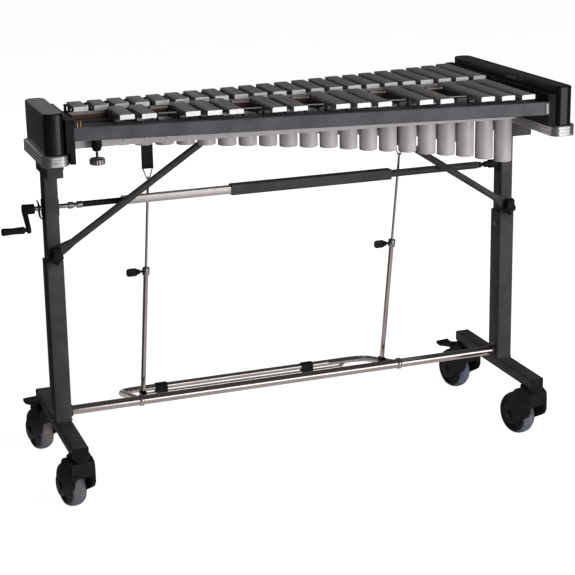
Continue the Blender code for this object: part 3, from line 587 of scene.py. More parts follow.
def draw_supports(bm):
    """Four strips under the bars' node lines, and two cross ties with the lugs that the braces bolt to."""
    for rear in (False, True):
        ends = [(x, accidental_node_y(x, rear)) for x in (-PLATE_INNER, PLATE_INNER)]
        add_strip(bm, ends, STRIP_THICKNESS, STRIP_BOTTOM, RAIL_TOP)
        points = [(natural_x(n), natural_node_y(n, rear)) for n in range(NATURALS)]
        points = [(-PLATE_INNER, points[0][1]), *points, (PLATE_INNER, points[-1][1])]
        add_strip(bm, points, STRIP_THICKNESS, STRIP_BOTTOM, RAIL_TOP)
    for x in (-TIE_X, TIE_X):
        natural = (x - natural_x(0)) / PITCH
        front = accidental_node_y(x, True) - STRIP_THICKNESS / 2
        back = natural_node_y(natural, False) + STRIP_THICKNESS / 2
        add_box(bm, (x - TIE_HALF, front, RAIL_BOTTOM), (x + TIE_HALF, back, TIE_TOP))
        lug_top = RAIL_BOTTOM + 0.001
        add_box(bm, (x - TIE_HALF, LUG_FRONT, LUG_BOTTOM), (x + TIE_HALF, LUG_BACK, lug_top))


def draw_end_plates(bm):
    """A plate behind each end cap. The left one reaches down past its band, as the photo shows."""
    for sign, cap, band in ((-1, LEFT_CAP, LEFT_BAND), (1, RIGHT_CAP, RIGHT_BAND)):
        inner = sign * PLATE_INNER
        thick = (cap[1].x + FIT_GAP) if sign < 0 else (cap[0].x - FIT_GAP)
        thin = (band[1].x + FIT_GAP) if sign < 0 else (band[0].x - FIT_GAP)
        step = cap[0].z + FIT_GAP
        top = BAR_TOP - 0.002
        outline = [(inner, step), (thick, step), (thick, top), (inner, top)]
        if sign < 0:
            outline = [(inner, PLATE_BOTTOM), (thin, PLATE_BOTTOM), (thin, step)]
            outline += [(thick, step), (thick, top), (inner, top)]
        add_prism(bm, outline, cap[0].y + 0.001, cap[1].y - 0.001, axis="y")


def cord_posts():
    """Every post's place, and whether it stands in the accidental row, which has the taller ones."""
    posts = []
    for rear in (False, True):
        for slot in range(SLOTS + 1):
            x = slot_x(slot) - PITCH / 2
            posts.append((x, accidental_node_y(x, rear), True))
        for natural in range(NATURALS + 1):
            x = natural_x(natural) - PITCH / 2
            posts.append((x, natural_node_y(natural - 0.5, rear), False))
    return posts


def draw_posts(bm):
    """Each cord post is a ribbed spacer with a hook at the cord's height."""
    for x, y, tall in cord_posts():
        top = BAR_TOP - 0.001 if tall else BAR_TOP - 0.0015
        profile = (
            (0.0042, RAIL_TOP - 0.002),
            (0.0042, RAIL_TOP + 0.0015),
            (0.0032, RAIL_TOP + 0.0025),
            (0.0028, CORD_Z - 0.003),
            (0.0036, CORD_Z - 0.002),
            (0.0036, top - 0.001),
            (0.0026, top),
        )
        turned(bm, profile, (x, y, 0), (0, 0, 1), 12)


def draw_cords(bm):
    """Two cords through each row, one along each line of holes, from post to post."""
    for rear in (False, True):
        places = [slot_x(slot) - PITCH / 2 for slot in range(SLOTS + 1)]
        points = [(x, accidental_node_y(x, rear), CORD_Z) for x in places]
        sweep(bm, points, CORD_RADIUS, 10)
        places = [natural - 0.5 for natural in range(NATURALS + 1)]
        points = [(natural_x(place), natural_node_y(place, rear), CORD_Z) for place in places]
        sweep(bm, points, CORD_RADIUS, 10)


def draw_frame_bolts(bm):
    """Two bolts in the rear rail and two on the inner face of each end plate."""
    bolt_x, bolt_y = 0.472, 0.040
    for x in (-bolt_x, bolt_x):
        hex_bolt(bm, (x, rear_rail_y(x), (RAIL_BOTTOM + RAIL_TOP) / 2), (0, 1, 0), 0.004, 0.0025)
    for sign in (-1, 1):
        for y in (-bolt_y, bolt_y):
            at = (sign * (PLATE_INNER - 0.0005), y, 0.790)
            hex_bolt(bm, at, (-sign, 0, 0), 0.0045, 0.003)


def draw_cord_clips(bm):
    """The bright hooks that end the front cord at the high end."""
    x = -PLATE_INNER + 0.006
    y = front_rail_y(x) + 0.004
    profile = ((0.0022, 0.0), (0.0022, 0.014), (0.0012, 0.0155))
    for across in (0.0, 0.007):
        turned(bm, profile, (x + across, y, RAIL_TOP - 0.0005), (0, 0, 1), 12)


def draw_rail_bead(bm):
    """The pale moulded bead that closes the front rail's low end."""
    x = PLATE_INNER - 0.0026
    profile = ((0.0010, 0.0), (0.0026, 0.0012), (0.0026, 0.0208), (0.0010, 0.0220))
    turned(bm, profile, (x, front_rail_y(x) - 0.0002, RAIL_BOTTOM + 0.003), (0, 0, 1), 16)


def draw_adjuster_socket(bm):
    profile = ((0.0110, 0.8005), (0.0110, 0.784), (0.0100, 0.781), (0.0080, 0.7755), (0.0055, 0.7750))
    turned(bm, profile, (ADJUSTER_X, ADJUSTER_Y, 0), (0, 0, 1), 32)


def make_frame():
    rails = [lambda bm: draw_rail(bm, front_rail_y, 1), lambda bm: draw_rail(bm, rear_rail_y, -1)]
    piece("outer_rails", rails, FRAME_COAT, "keyboard", "keyboard_frame", bevel=0.0008)
    piece("support_strips", draw_supports, COAT, "keyboard", (), bevel=0.0005)
    piece("end_plates", draw_end_plates, PLASTIC, "keyboard", (), bevel=0.0008)
    piece("cord_posts", draw_posts, SOFT_PLASTIC, "keyboard", ())
    piece("bar_cords", draw_cords, CORD, "keyboard")
    piece("frame_bolts", draw_frame_bolts, ZINC, "keyboard", ())
    piece("cord_clips", draw_cord_clips, BRASS, "keyboard")
    piece("rail_end_bead", draw_rail_bead, ENAMEL, "keyboard", ())
    piece("adjuster_socket", draw_adjuster_socket, PLASTIC, "keyboard", (), bevel=0.0004)


def make_adjuster():
    """The height adjuster: a knurled wheel, turned by hand, on a threaded stem."""
    low, high = local_box("adjuster_screw")
    x, y = (low.x + high.x) / 2, (low.y + high.y) / 2
    radius = (high.x - low.x) / 2

    def draw(bm):
        stem = [(0.003, high.z)]
        for i in range(7):
            z = high.z - 0.0015 - 0.0018 * i
            stem += [(0.0031, z), (0.0026, z - 0.0009)]
        turned(bm, stem, (x, y, 0), (0, 0, 1), 20, look=1)
        sides = 48
        rings = []
        levels = ((0.7605, 0.0035), (0.7600, 0.0020), (0.7575, 0.0), (0.7490, 0.0))
        levels += ((low.z + 0.001, 0.0015), (low.z, 0.004))
        for z, inset in levels:
            ring = []
            for i, (a, b) in enumerate(circle(1.0, sides)):
                r = radius - inset - (0.0007 if i % 2 else 0)
                ring.append((x + a * r, y + b * r, z))
            rings.append(ring)
        loft(bm, rings)

    piece("adjuster_wheel", draw, [STEEL, ZINC], "adjuster", "adjuster_screw")


def draw_cap(low, high):
    """A moulded end shell: round upright corners, a soft top edge and a shallow top panel."""
    corner = 0.016
    rings = []
    edge = 0.0035
    levels = [(low.z, 0.0008), (low.z + 0.001, 0.0)]
    for i in range(7):
        angle = i / 6 * math.pi / 2
        levels.append((high.z - edge + edge * math.sin(angle), edge * (1 - math.cos(angle))))
    levels += [(high.z, 0.0065), (high.z - 0.0004, 0.0070)]
    for z, inset in levels:
        outline = rounded_rectangle(
            low.x + inset, high.x - inset, low.y + inset, high.y - inset, max(corner - inset, 0.002), steps=10
        )
        rings.append([(x, y, z) for x, y in outline])
    return lambda bm: loft(bm, rings)


def draw_band(low, high):
    """An extruded band with two long grooves round it."""
    rings = []
    corner = 0.020
    height = high.z - low.z
    levels = ((0.0, 0.0012), (0.04, 0.0), (0.30, 0.0), (0.33, 0.0009), (0.38, 0.0009), (0.41, 0.0))
    levels += ((0.60, 0.0), (0.63, 0.0009), (0.68, 0.0009), (0.71, 0.0), (0.95, 0.0), (1.0, 0.0014))
    for share, inset in levels:
        outline = rounded_rectangle(
            low.x + inset, high.x - inset, low.y + inset, high.y - inset, corner - inset, steps=12
        )
        rings.append([(x, y, low.z + share * height) for x, y in outline])
    return lambda bm: loft(bm, rings)


def make_ends():
    for side in ("left", "right"):
        cap, band = f"{side}_end_cap", f"{side}_end_band"
        piece(f"{side}_cap_shell", draw_cap(*local_box(cap)), GLOSS, "keyboard", cap)
        draw = draw_band(*local_box(band))
        piece(f"{side}_ribbed_band", draw, ALUMINIUM, "keyboard", band, sharp=50)


# ---------------------------------------------------------------- resonators
TUBE_RADIUS = 0.020
TUBE_TOP = 0.824
LONGEST_TUBE = 0.150
TUBE_SEMITONES_PER_HALVING = 21
BANK_BOTTOM, BANK_TOP = 0.777, 0.799
BANK_START_X = -0.500


def tube_length(semitone):
    return LONGEST_TUBE * 2 ** (-semitone / TUBE_SEMITONES_PER_HALVING)


def near_tubes():
    tubes = []
    for slot in range(SLOTS):
        x = slot_x(slot)
        y = (accidental_node_y(x, False) + accidental_node_y(x, True)) / 2
        semitone = (natural_semitone(slot + 1) + natural_semitone(slot + 2)) / 2
        tubes.append((x, y, TUBE_RADIUS, TUBE_TOP - tube_length(semitone)))
    return tubes


def far_tubes():
    tubes = []
    for natural in range(NATURALS):
        low, high = natural_node_y(natural, False), natural_node_y(natural, True)
        radius = min(TUBE_RADIUS, (high - low) / 2 - STRIP_THICKNESS / 2 - 0.002)
        bottom = min(TUBE_TOP - tube_length(natural_semitone(natural)), BANK_BOTTOM + 0.002)
        tubes.append((natural_x(natural), (low + high) / 2, radius, bottom))
    return tubes


def draw_tubes(tubes):
    """Open tubes with a rolled top edge and a pressed cap a little proud of the bottom."""

    def draw(bm):
        for x, y, radius, bottom in tubes:
            wall = 0.0012
            profile = (
                (radius - wall, bottom + 0.012),
                (radius - wall, TUBE_TOP - 0.0005),
                (radius - wall / 2, TUBE_TOP),
                (radius, TUBE_TOP - 0.0006),
                (radius, bottom + 0.0052),
                (radius - 0.0004, bottom + 0.0048),
                (radius - 0.0004, bottom + 0.0044),
                (radius, bottom + 0.0040),
                (radius, bottom + 0.0020),
                (radius - 0.0006, bottom + 0.0006),
                (radius - 0.0022, bottom),
            )
            turned(bm, profile, (x, y, 0), (0, 0, 1), 40)

    return draw


def draw_bank_strips(tubes, first, last):
    """A strip along each side of a row of tubes, with a rivet at every tube."""
    rivet = ((0.0030, 0), (0.0026, 0.0008), (0.0012, 0.0010))
    rivet_z = (BANK_BOTTOM + BANK_TOP) / 2

    def draw(bm):
        for sign in (-1, 1):
            points = [(x, y + sign * (radius - 0.0002)) for x, y, radius, _ in tubes]
            points = [(first, points[0][1]), *points, (last, points[-1][1])]
            add_strip(bm, points, 0.002, BANK_BOTTOM, BANK_TOP)
            for x, y in points[1:-1]:
                turned(bm, rivet, (x, y + sign * 0.001, rivet_z), (0, sign, 0), 12, look=1)

    return draw


def make_resonators():
    for name, tubes in (("near", near_tubes()), ("far", far_tubes())):
        body = f"{name}_resonators"
        piece(f"{name}_tubes", draw_tubes(tubes), ENAMEL, "keyboard", body)
        strips = draw_bank_strips(tubes, BANK_START_X, tubes[-1][0] + TUBE_RADIUS + 0.001)
        piece(f"{name}_bank_strips", strips, [ENAMEL, ZINC], "keyboard", (), bevel=0.0003)


# ---------------------------------------------------------------- stand
SIDES = (("left", -1), ("right", 1))
POST_X = 0.542
POST_HALF_DEPTH = 0.024
FOOT_TOP = 0.158
FOOT_HALF = 0.018
SCREW_HEIGHTS = (0.492, 0.186)
COLUMN_HALF_WIDTH, COLUMN_HALF_DEPTH = 0.015, 0.020
HEAD_BOTTOM = 0.712
BRACE_Y = -0.031
BRACE_LOW_X, BRACE_LOW_Z, BRACE_HIGH_Z = 0.541, 0.540, 0.7865


def upright(bm, low, high, radius, wall=None, steps=5):
    """An upright rectangular tube. With a wall it is open, and its rim shows at the top."""
    outline = rounded_rectangle(low.x, high.x, low.y, high.y, radius, steps)
    if wall is None:
        add_prism(bm, outline, low.z, high.z)
        return
    inner_radius = max(radius - wall, 0.0005)
    inner = rounded_rectangle(
        low.x + wall, high.x - wall, low.y + wall, high.y - wall, inner_radius, steps
    )
    walls = ((outline, low.z), (outline, high.z), (inner, high.z), (inner, low.z))
    loft(bm, [[(x, y, z) for x, y in ring] for ring, z in walls], closed=True)


def make_leg(side, sign):
    """One welded foot and post, with its plugs and screws."""
    low, high = local_box(f"{side}_leg")
    x = sign * POST_X

    def draw(bm):
        outline = rounded_rectangle(x - FOOT_HALF, x + FOOT_HALF, low.z, FOOT_TOP, 0.003, 5)
        add_prism(bm, outline, low.y + 0.0015, high.y - 0.0015, axis="y")
        post_low = Vector((low.x, -POST_HALF_DEPTH, FOOT_TOP - 0.001))
        upright(bm, post_low, Vector((high.x, POST_HALF_DEPTH, high.z)), 0.004, wall=0.0035)

    piece(f"{side}_leg_weldment", draw, COAT, "stand", f"{side}_leg")

    def draw_weld(bm):
        edge = POST_HALF_DEPTH + 0.0015
        outline = rounded_rectangle(low.x, high.x, -edge, edge, 0.005, 6)
        path = [(px, py, FOOT_TOP + 0.0006) for px, py in outline]
        sweep(bm, path, [0.0011 + 0.0003 * (i % 2) for i in range(len(path))], 8, closed=True)

    piece(f"{side}_leg_weld", draw_weld, COAT, "stand", ())

    def draw_plugs(bm):
        inset = 0.0008
        half = FOOT_HALF - inset
        outline = rounded_rectangle(x - half, x + half, low.z + inset, FOOT_TOP - inset, 0.0026, 5)
        for y, way in ((low.y, 1), (high.y, -1)):
            add_prism(bm, outline, y, y + way * 0.003, axis="y")

    piece(f"{side}_foot_plugs", draw_plugs, PLASTIC, "stand", (), bevel=0.0005)

    def draw_screws(bm):
        for z in SCREW_HEIGHTS:
            hex_bolt(bm, (sign * (POST_X - 0.0190), 0.0, z), (-sign, 0, 0), 0.0035, 0.002)

    piece(f"{side}_leg_screws", draw_screws, ZINC, "stand", ())


def make_crossbar():
    low, high = local_box("crossbar")
    z = (low.z + high.z) / 2
    radius = (high.z - low.z) / 2

    def draw(bm):
        sweep(bm, [(low.x, 0, z), (high.x, 0, z)], radius, 48)

    piece("crossbar_tube", draw, CHROME, "stand", "crossbar")

    def draw_collars(bm):
        collar_radius, half = 0.0135, 0.0025
        for x in (low.x + half, high.x - half):
            turned(bm, ((collar_radius, -half), (collar_radius, half)), (x, 0, z), (1, 0, 0), 32)

    piece("crossbar_collars", draw_collars, COAT, "stand", (), bevel=0.0005)


def make_column(side, sign):
    """One lift column, the head that carries the keyboard, and the plates its shaft runs through."""
    low, high = local_box(f"{side}_column")
    x = sign * POST_X

    def draw(bm):
        post_low = Vector((x - COLUMN_HALF_WIDTH, -COLUMN_HALF_DEPTH, low.z))
        post_high = Vector((x + COLUMN_HALF_WIDTH, COLUMN_HALF_DEPTH, HEAD_BOTTOM + 0.001))
        upright(bm, post_low, post_high, 0.003, wall=0.0025)
        outline = rounded_rectangle(low.x, high.x, low.y, high.y, 0.004, 5)
        add_prism(bm, outline, HEAD_BOTTOM, high.z)

    piece(f"{side}_column_post", draw, COAT, "keyboard", f"{side}_column", bevel=0.0006)

    def draw_bolts(bm):
        inner = low.x if sign > 0 else high.x
        bolt_y, bolt_z = 0.042, 0.731
        for y in (-bolt_y, bolt_y):
            hex_bolt(bm, (inner - sign * 0.0002, y, bolt_z), (-sign, 0, 0), 0.005, 0.004)

    piece(f"{side}_head_bolts", draw_bolts, ZINC, "keyboard", ())

    def draw_bearing(bm):
        """The shaft passes through both faces of the crank's column and ends in the other one."""
        plate = rounded_rectangle(-0.011, 0.011, SHAFT_Z - 0.020, SHAFT_Z + 0.020, 0.006, 5)
        for way in (sign, -sign) if sign < 0 else (-sign,):
            face = x + way * (COLUMN_HALF_WIDTH + 0.0002)
            add_prism(bm, plate, face, face + way * 0.0025, axis="x")

    piece(f"{side}_shaft_bearing", draw_bearing, PLASTIC, "keyboard", (), bevel=0.0006)


def make_brace(side, sign):
    """A diagonal tube with flattened ends, from a column up to a cross tie."""
    low = Vector((sign * BRACE_LOW_X, BRACE_Y, BRACE_LOW_Z))
    high = Vector((sign * TIE_X, BRACE_Y, BRACE_HIGH_Z))
    along = (high - low).normalized()
    across = Vector((0, 1, 0)).cross(along).normalized()

    def draw(bm):
        rings = []
        length = (high - low).length
        tube_front, tube_back = -0.0385, -0.0230
        # Each station: how far up the brace, half height, front, back and corner radius.
        stations = (
            (-0.0190, 0.0090, -0.0275, -0.0205, 0.0030),
            (-0.0140, 0.0120, -0.0280, -0.0204, 0.0020),
            (0.0200, 0.0120, -0.0280, -0.0204, 0.0020),
            (0.0330, 0.0100, -0.0340, -0.0210, 0.0050),
            (0.0460, 0.0079, tube_front, tube_back, 0.0077),
            (length - 0.040, 0.0079, tube_front, tube_back, 0.0077),
            (length - 0.028, 0.0092, -0.0345, -0.0260, 0.0040),
            (length - 0.018, 0.0105, -0.0330, -0.0288, 0.0015),
            (length + 0.003, 0.0105, -0.0330, -0.0290, 0.0015),
            (length + 0.009, 0.0070, -0.0328, -0.0292, 0.0012),
        )
        for a, half, front, back, corner in stations:
            middle = low + a * along
            ring = []
            for b, py in rounded_rectangle(-half, half, front, back, corner, 6):
                point = middle + b * across
                ring.append((point.x, py, point.z))
            rings.append(ring)
        loft(bm, rings)

    piece(f"{side}_brace_tube", draw, COAT, "keyboard", f"{side}_brace", sharp=50)

    def draw_bolt(bm):
        hex_bolt(bm, (high.x, -0.0331, high.z), (0, -1, 0), 0.0045, 0.0035)

    piece(f"{side}_brace_bolt", draw_bolt, ZINC, "keyboard", ())

    knob = f"{side}_brace_knob"
    draw = draw_grip_knob(*local_box(knob))
    piece(f"{side}_brace_grip_knob", draw, PLASTIC, knob, knob, sharp=50)


def draw_grip_knob(low, high):
    """A five-lobed knob, taller than it is wide, with its round neck behind."""
    centre = Vector(((low.x + high.x) / 2, high.y, (low.z + high.z) / 2))
    radius = 0.0185
    lobe_depth, lobes = 0.0042, 5
    width, height = 0.85, 1.2
    points = 60
    levels = ((0.004, 0.003), (0.005, 0.0008), (0.0085, 0.0))
    levels += ((0.014, 0.0008), (0.0165, 0.003), (0.0178, 0.007))

    def draw(bm):
        turned(bm, ((0.006, 0.0), (0.006, 0.005)), centre, (0, -1, 0), 24)
        rings = []
        for depth, inset in levels:
            ring = []
            for i in range(points):
                angle = 2 * math.pi * i / points
                r = radius - inset - lobe_depth * (1 - math.cos(lobes * angle + math.pi / 2)) / 2
                across, up = width * r * math.cos(angle), height * r * math.sin(angle)
                ring.append((centre.x + across, centre.y - depth, centre.z + up))
            rings.append(ring)
        loft(bm, rings)

    return draw


# ---------------------------------------------------------------- lift drive
SHAFT_Z = 0.638
CRANK_X = -0.598
CRANK_RADIUS = 0.056
CRANK_LEAN = math.radians(-54)
CRANK_HUB_RADIUS, CRANK_TIP_RADIUS = 0.0115, 0.0080
BRACKET_X, POST_FACE_X = -0.566, -0.5572
SLEEVE_HALF = 0.0118
SLEEVE_ENDS = (-0.137, 0.249)


def make_drive():
    pivot = Vector((CRANK_X, 0, SHAFT_Z))
    down = Vector((0, math.sin(CRANK_LEAN), -math.cos(CRANK_LEAN)))
    across = Vector((0, down.z, -down.y))
    pin = pivot + CRANK_RADIUS * down

    def along_shaft(bm, x0, x1, radius, sides=28, look=0):
        sweep(bm, [(x0, 0, SHAFT_Z), (x1, 0, SHAFT_Z)], radius, sides, look)

    def draw_crank(bm):
        """A flat arm with round ends, its boss over the shaft, and the pin that the grip turns on."""
        outline = []
        steps = 16
        ends = ((math.pi, CRANK_HUB_RADIUS, 0.0), (0.0, CRANK_TIP_RADIUS, CRANK_RADIUS))
        for start, radius, middle in ends:
            for i in range(steps + 1):
                angle = start + math.pi * i / steps
                outline.append((radius * math.cos(angle), middle + radius * math.sin(angle)))
        rings = []
        for x in (CRANK_X - 0.004, CRANK_X + 0.004):
            rings.append([Vector((x, 0, SHAFT_Z)) + a * across + b * down for a, b in outline])
        loft(bm, rings)
        along_shaft(bm, CRANK_X - 0.003, CRANK_X + 0.022, 0.011)
        sweep(bm, [pin, pin + Vector((-0.008, 0, 0))], 0.0045, 20)

    piece("crank_casting", draw_crank, PLASTIC, "crank", "crank_arm", bevel=0.0012)

    def draw_bracket(bm):
        """The thin hooked bracket beside the post that the crank's shaft runs through."""
        above, below = SHAFT_Z + 0.017, SHAFT_Z - 0.022
        thick, wide = 0.0011, 0.009
        path = [(BRACKET_X - 0.003, 0, above), (BRACKET_X, 0, SHAFT_Z + 0.008)]
        path += [(BRACKET_X, 0, SHAFT_Z - 0.010), (BRACKET_X + 0.002, 0, below)]
        path += [(POST_FACE_X, 0, below - 0.002)]
        corners = ((-thick, -wide), (thick, -wide), (thick, wide), (-thick, wide))
        points = rounded_path(path, 0.003, 5)
        loft(bm, [[(point.x + a, b, point.z) for a, b in corners] for point in points])

    piece("crank_bracket", draw_bracket, PLASTIC, "keyboard", (), bevel=0.0003)

    def draw_input(bm):
        along_shaft(bm, CRANK_X + 0.020, -0.500, 0.005, look=1)
        for x0, x1 in ((-0.503, -0.492), (-0.484, -0.472)):
            along_shaft(bm, x0, x1, 0.0075, look=1)
        along_shaft(bm, -0.493, -0.483, 0.0050, look=1)
        sweep(bm, [(-0.488, -0.0078, SHAFT_Z), (-0.488, 0.0078, SHAFT_Z)], 0.0025, 12, 1)
        along_shaft(bm, -0.474, -0.3853, 0.0065, look=0)

    piece("input_shaft", draw_input, [PLASTIC, ZINC], "crank", (), bevel=0.0004)
    grip = local_box("crank_grip")

    def draw_grip(bm):
        start = grip[1].x
        length = grip[1].x - grip[0].x
        profile = ((0.0040, 0.0), (0.0066, 0.0006), (0.0080, 0.0035), (0.0076, 0.010))
        profile += ((0.0070, 0.022), (0.0073, 0.034))
        profile += ((0.0081, 0.044), (0.0079, length - 0.0025), (0.0062, length - 0.0006), (0.0020, length))
        turned(bm, profile, (start, pin.y, pin.z), (-1, 0, 0), 32)

    piece("crank_hand_grip", draw_grip, PLASTIC, "crank_grip", "crank_grip", sharp=60)
    bar_low, bar_high = local_box("shaft_bar")

    def draw_bar_shaft(bm):
        outline = rounded_rectangle(bar_low.y, bar_high.y, bar_low.z, bar_high.z, 0.0012, 4)
        add_prism(bm, outline, bar_low.x, bar_high.x, axis="x")

    piece("square_steel_bar", draw_bar_shaft, STEEL, "crank", "shaft_bar")

    def draw_sleeve(bm):
        outline = rounded_rectangle(
            -SLEEVE_HALF, SLEEVE_HALF, SHAFT_Z - SLEEVE_HALF, SHAFT_Z + SLEEVE_HALF, 0.002, 5
        )
        add_prism(bm, outline, *SLEEVE_ENDS, axis="x")
        along_shaft(bm, 0.2475, 0.473, 0.0085, look=0)

    piece("square_sleeve", draw_sleeve, COAT, "crank", "shaft_sleeve", bevel=0.0004)

    def draw_output(bm):
        for x0, x1 in ((0.471, 0.482), (0.492, 0.505)):
            along_shaft(bm, x0, x1, 0.0072, look=0)
        along_shaft(bm, 0.481, 0.493, 0.0045)
        sweep(bm, [(0.487, -0.0072, SHAFT_Z), (0.487, 0.0072, SHAFT_Z)], 0.0024, 12)
        along_shaft(bm, 0.503, 0.5266, 0.010)
        along_shaft(bm, 0.520, 0.549, 0.005)

    piece("output_joint", draw_output, PLASTIC, "crank", (), bevel=0.0004)


# ---------------------------------------------------------------- damper and pedal
STRAP_Y = 0.020
ROD_TOPS = ((-0.319, STRAP_Y, 0.676), (0.282, STRAP_Y, 0.676))
ROD_FEET = ((-0.341, 0.055, 0.172), (0.253, 0.055, 0.172))
CLAMP_Z = 0.462
UPPER_ROD_LOW_Z = 0.2355
STRAP_HALF = 0.0130
BOARD_BOTTOM = 0.816


def make_damper():
    low, high = local_box("damper_bar")
    bottom, top = BOARD_BOTTOM, high.z

    def edge(x, rear):
        """The damper's long edges, which spread from its high end to its low one."""
        from_left = x + 0.5
        return 0.018 + 0.012 * from_left if rear else -0.020 - 0.022 * from_left

    def outline_between(inset):
        ends = (low.x + inset, high.x - inset)
        front = [(x, edge(x, False) + inset) for x in ends]
        return front + [(x, edge(x, True) - inset) for x in reversed(ends)]

    def draw_felt(bm):
        add_prism(bm, outline_between(0.0), top - 0.0095, top - 0.0004)

    def draw_board(bm):
        add_prism(bm, outline_between(0.0012), bottom, top - 0.0098)

    piece("damper_felt", draw_felt, FELT, "damper", "damper_bar", bevel=0.0018, segments=3)
    piece("damper_board", draw_board, COAT, "damper", (), bevel=0.0006)

    def draw_straps(bm):
        for x, y, z in ROD_TOPS:
            strap_low = (x - STRAP_HALF, y - 0.0016, z + 0.022)
            add_box(bm, strap_low, (x + STRAP_HALF, y + 0.0016, bottom + 0.001), look=0)
            ring = ((-0.0125, 0.028), (-0.0035, 0), (0.0035, 0), (0.0125, 0.028))
            wire = [(x + a, y, z + b) for a, b in ring]
            sweep(bm, rounded_path(wire, 0.002, 4), 0.0015, 10, look=1)

    piece("damper_straps", draw_straps, [PLASTIC, ZINC], "damper", (), bevel=0.0003)


def make_rod(side, foot, top):
    """One damper rod in its two sliding sections, with the clamp, wing knob and yoke."""
    foot, top = Vector(foot), Vector(top)
    direction = (top - foot).normalized()
    clamp = foot + direction * ((CLAMP_Z - foot.z) / direction.z)
    low = foot + direction * ((UPPER_ROD_LOW_Z - foot.z) / direction.z)
    loop = []
    for i in range(24):
        angle = 2 * math.pi * i / 24
        loop.append(top + Vector((0, 0.0043 * math.sin(angle), 0.0043 * math.cos(angle))))

    def draw_upper(bm):
        sweep(bm, [low, top - 0.0045 * direction], 0.0029, 24)
        sweep(bm, loop, 0.0011, 10, closed=True)

    piece(f"{side}_upper_rod_bar", draw_upper, CHROME, f"{side}_upper_rod", f"{side}_upper_rod")
    start = foot + 0.002 * direction
    length = (clamp - start).length + 0.008

    def draw_lower(bm):
        profile = ((0.0030, 0.0), (0.0054, 0.001), (0.0054, length - 0.014))
        profile += ((0.0044, length - 0.014), (0.0044, 0.012))
        turned(bm, profile, start, direction, 32)

    rod = f"{side}_lower_rod"
    piece(f"{side}_lower_rod_tube", draw_lower, CHROME, rod, rod, sharp=50)

    def draw_collar(bm):
        profile = ((0.0055, length - 0.018), (0.0078, length - 0.017), (0.0084, length - 0.015))
        profile += ((0.0084, length - 0.001), (0.0078, length))
        profile += ((0.0044, length), (0.0044, length - 0.018))
        turned(bm, profile, start, direction, 32, bored=True)

    piece(f"{side}_rod_collar", draw_collar, ZINC, rod, (), sharp=50)
    hub = clamp + Vector((-0.0088, 0, 0))

    def draw_knob(bm):
        stem = ((0.003, 0), (0.003, 0.005), (0.0058, 0.006), (0.0060, 0.012), (0.0045, 0.014))
        turned(bm, stem, hub, (-1, 0, 0), 24)
        wing = rounded_rectangle(hub.x - 0.036, hub.x - 0.010, hub.z - 0.0090, hub.z + 0.0090, 0.006, 5)
        add_prism(bm, wing, hub.y - 0.0026, hub.y + 0.0026, axis="y")

    knob = f"{side}_rod_knob"
    piece(f"{side}_wing_knob", draw_knob, PLASTIC, knob, knob, bevel=0.0010)
    yoke = f"{side}_rod_yoke"
    a, b = local_box(yoke)

    def draw_yoke(bm):
        slot_bottom, slot_top = 0.1525, 0.1610
        front, back = foot.y - 0.0065, foot.y + 0.0055
        section = [(a.y, a.z), (b.y, a.z), (b.y, slot_bottom), (a.y, slot_bottom)]
        add_prism(bm, section, a.x, b.x, axis="x")
        add_prism(bm, [(a.y, slot_top), (b.y, slot_top), (b.y, b.z), (a.y, b.z)], a.x, b.x, axis="x")
        add_prism(bm, [(a.y, a.z), (front, a.z), (front, b.z), (a.y, b.z)], a.x, b.x, axis="x")
        add_prism(bm, [(back, a.z), (b.y, a.z), (b.y, b.z), (back, b.z)], a.x, b.x, axis="x")

    piece(f"{side}_yoke_block", draw_yoke, PLASTIC, f"{side}_yoke", yoke, bevel=0.0006)


PEDAL_X = (-0.360, 0.272)
PEDAL_FAR_Y = 0.222
PEDAL_FAR_Z = 0.114
PEDAL_RADIUS = 0.0075
PEDAL_CORNER = 0.042
PEDAL_NEAR_Y = 0.0185
PEDAL_SLEEVES_X = (-0.254, 0.121)
YOKE_PIN_Z = 0.1567
CROSSBAR_Z = 0.1725


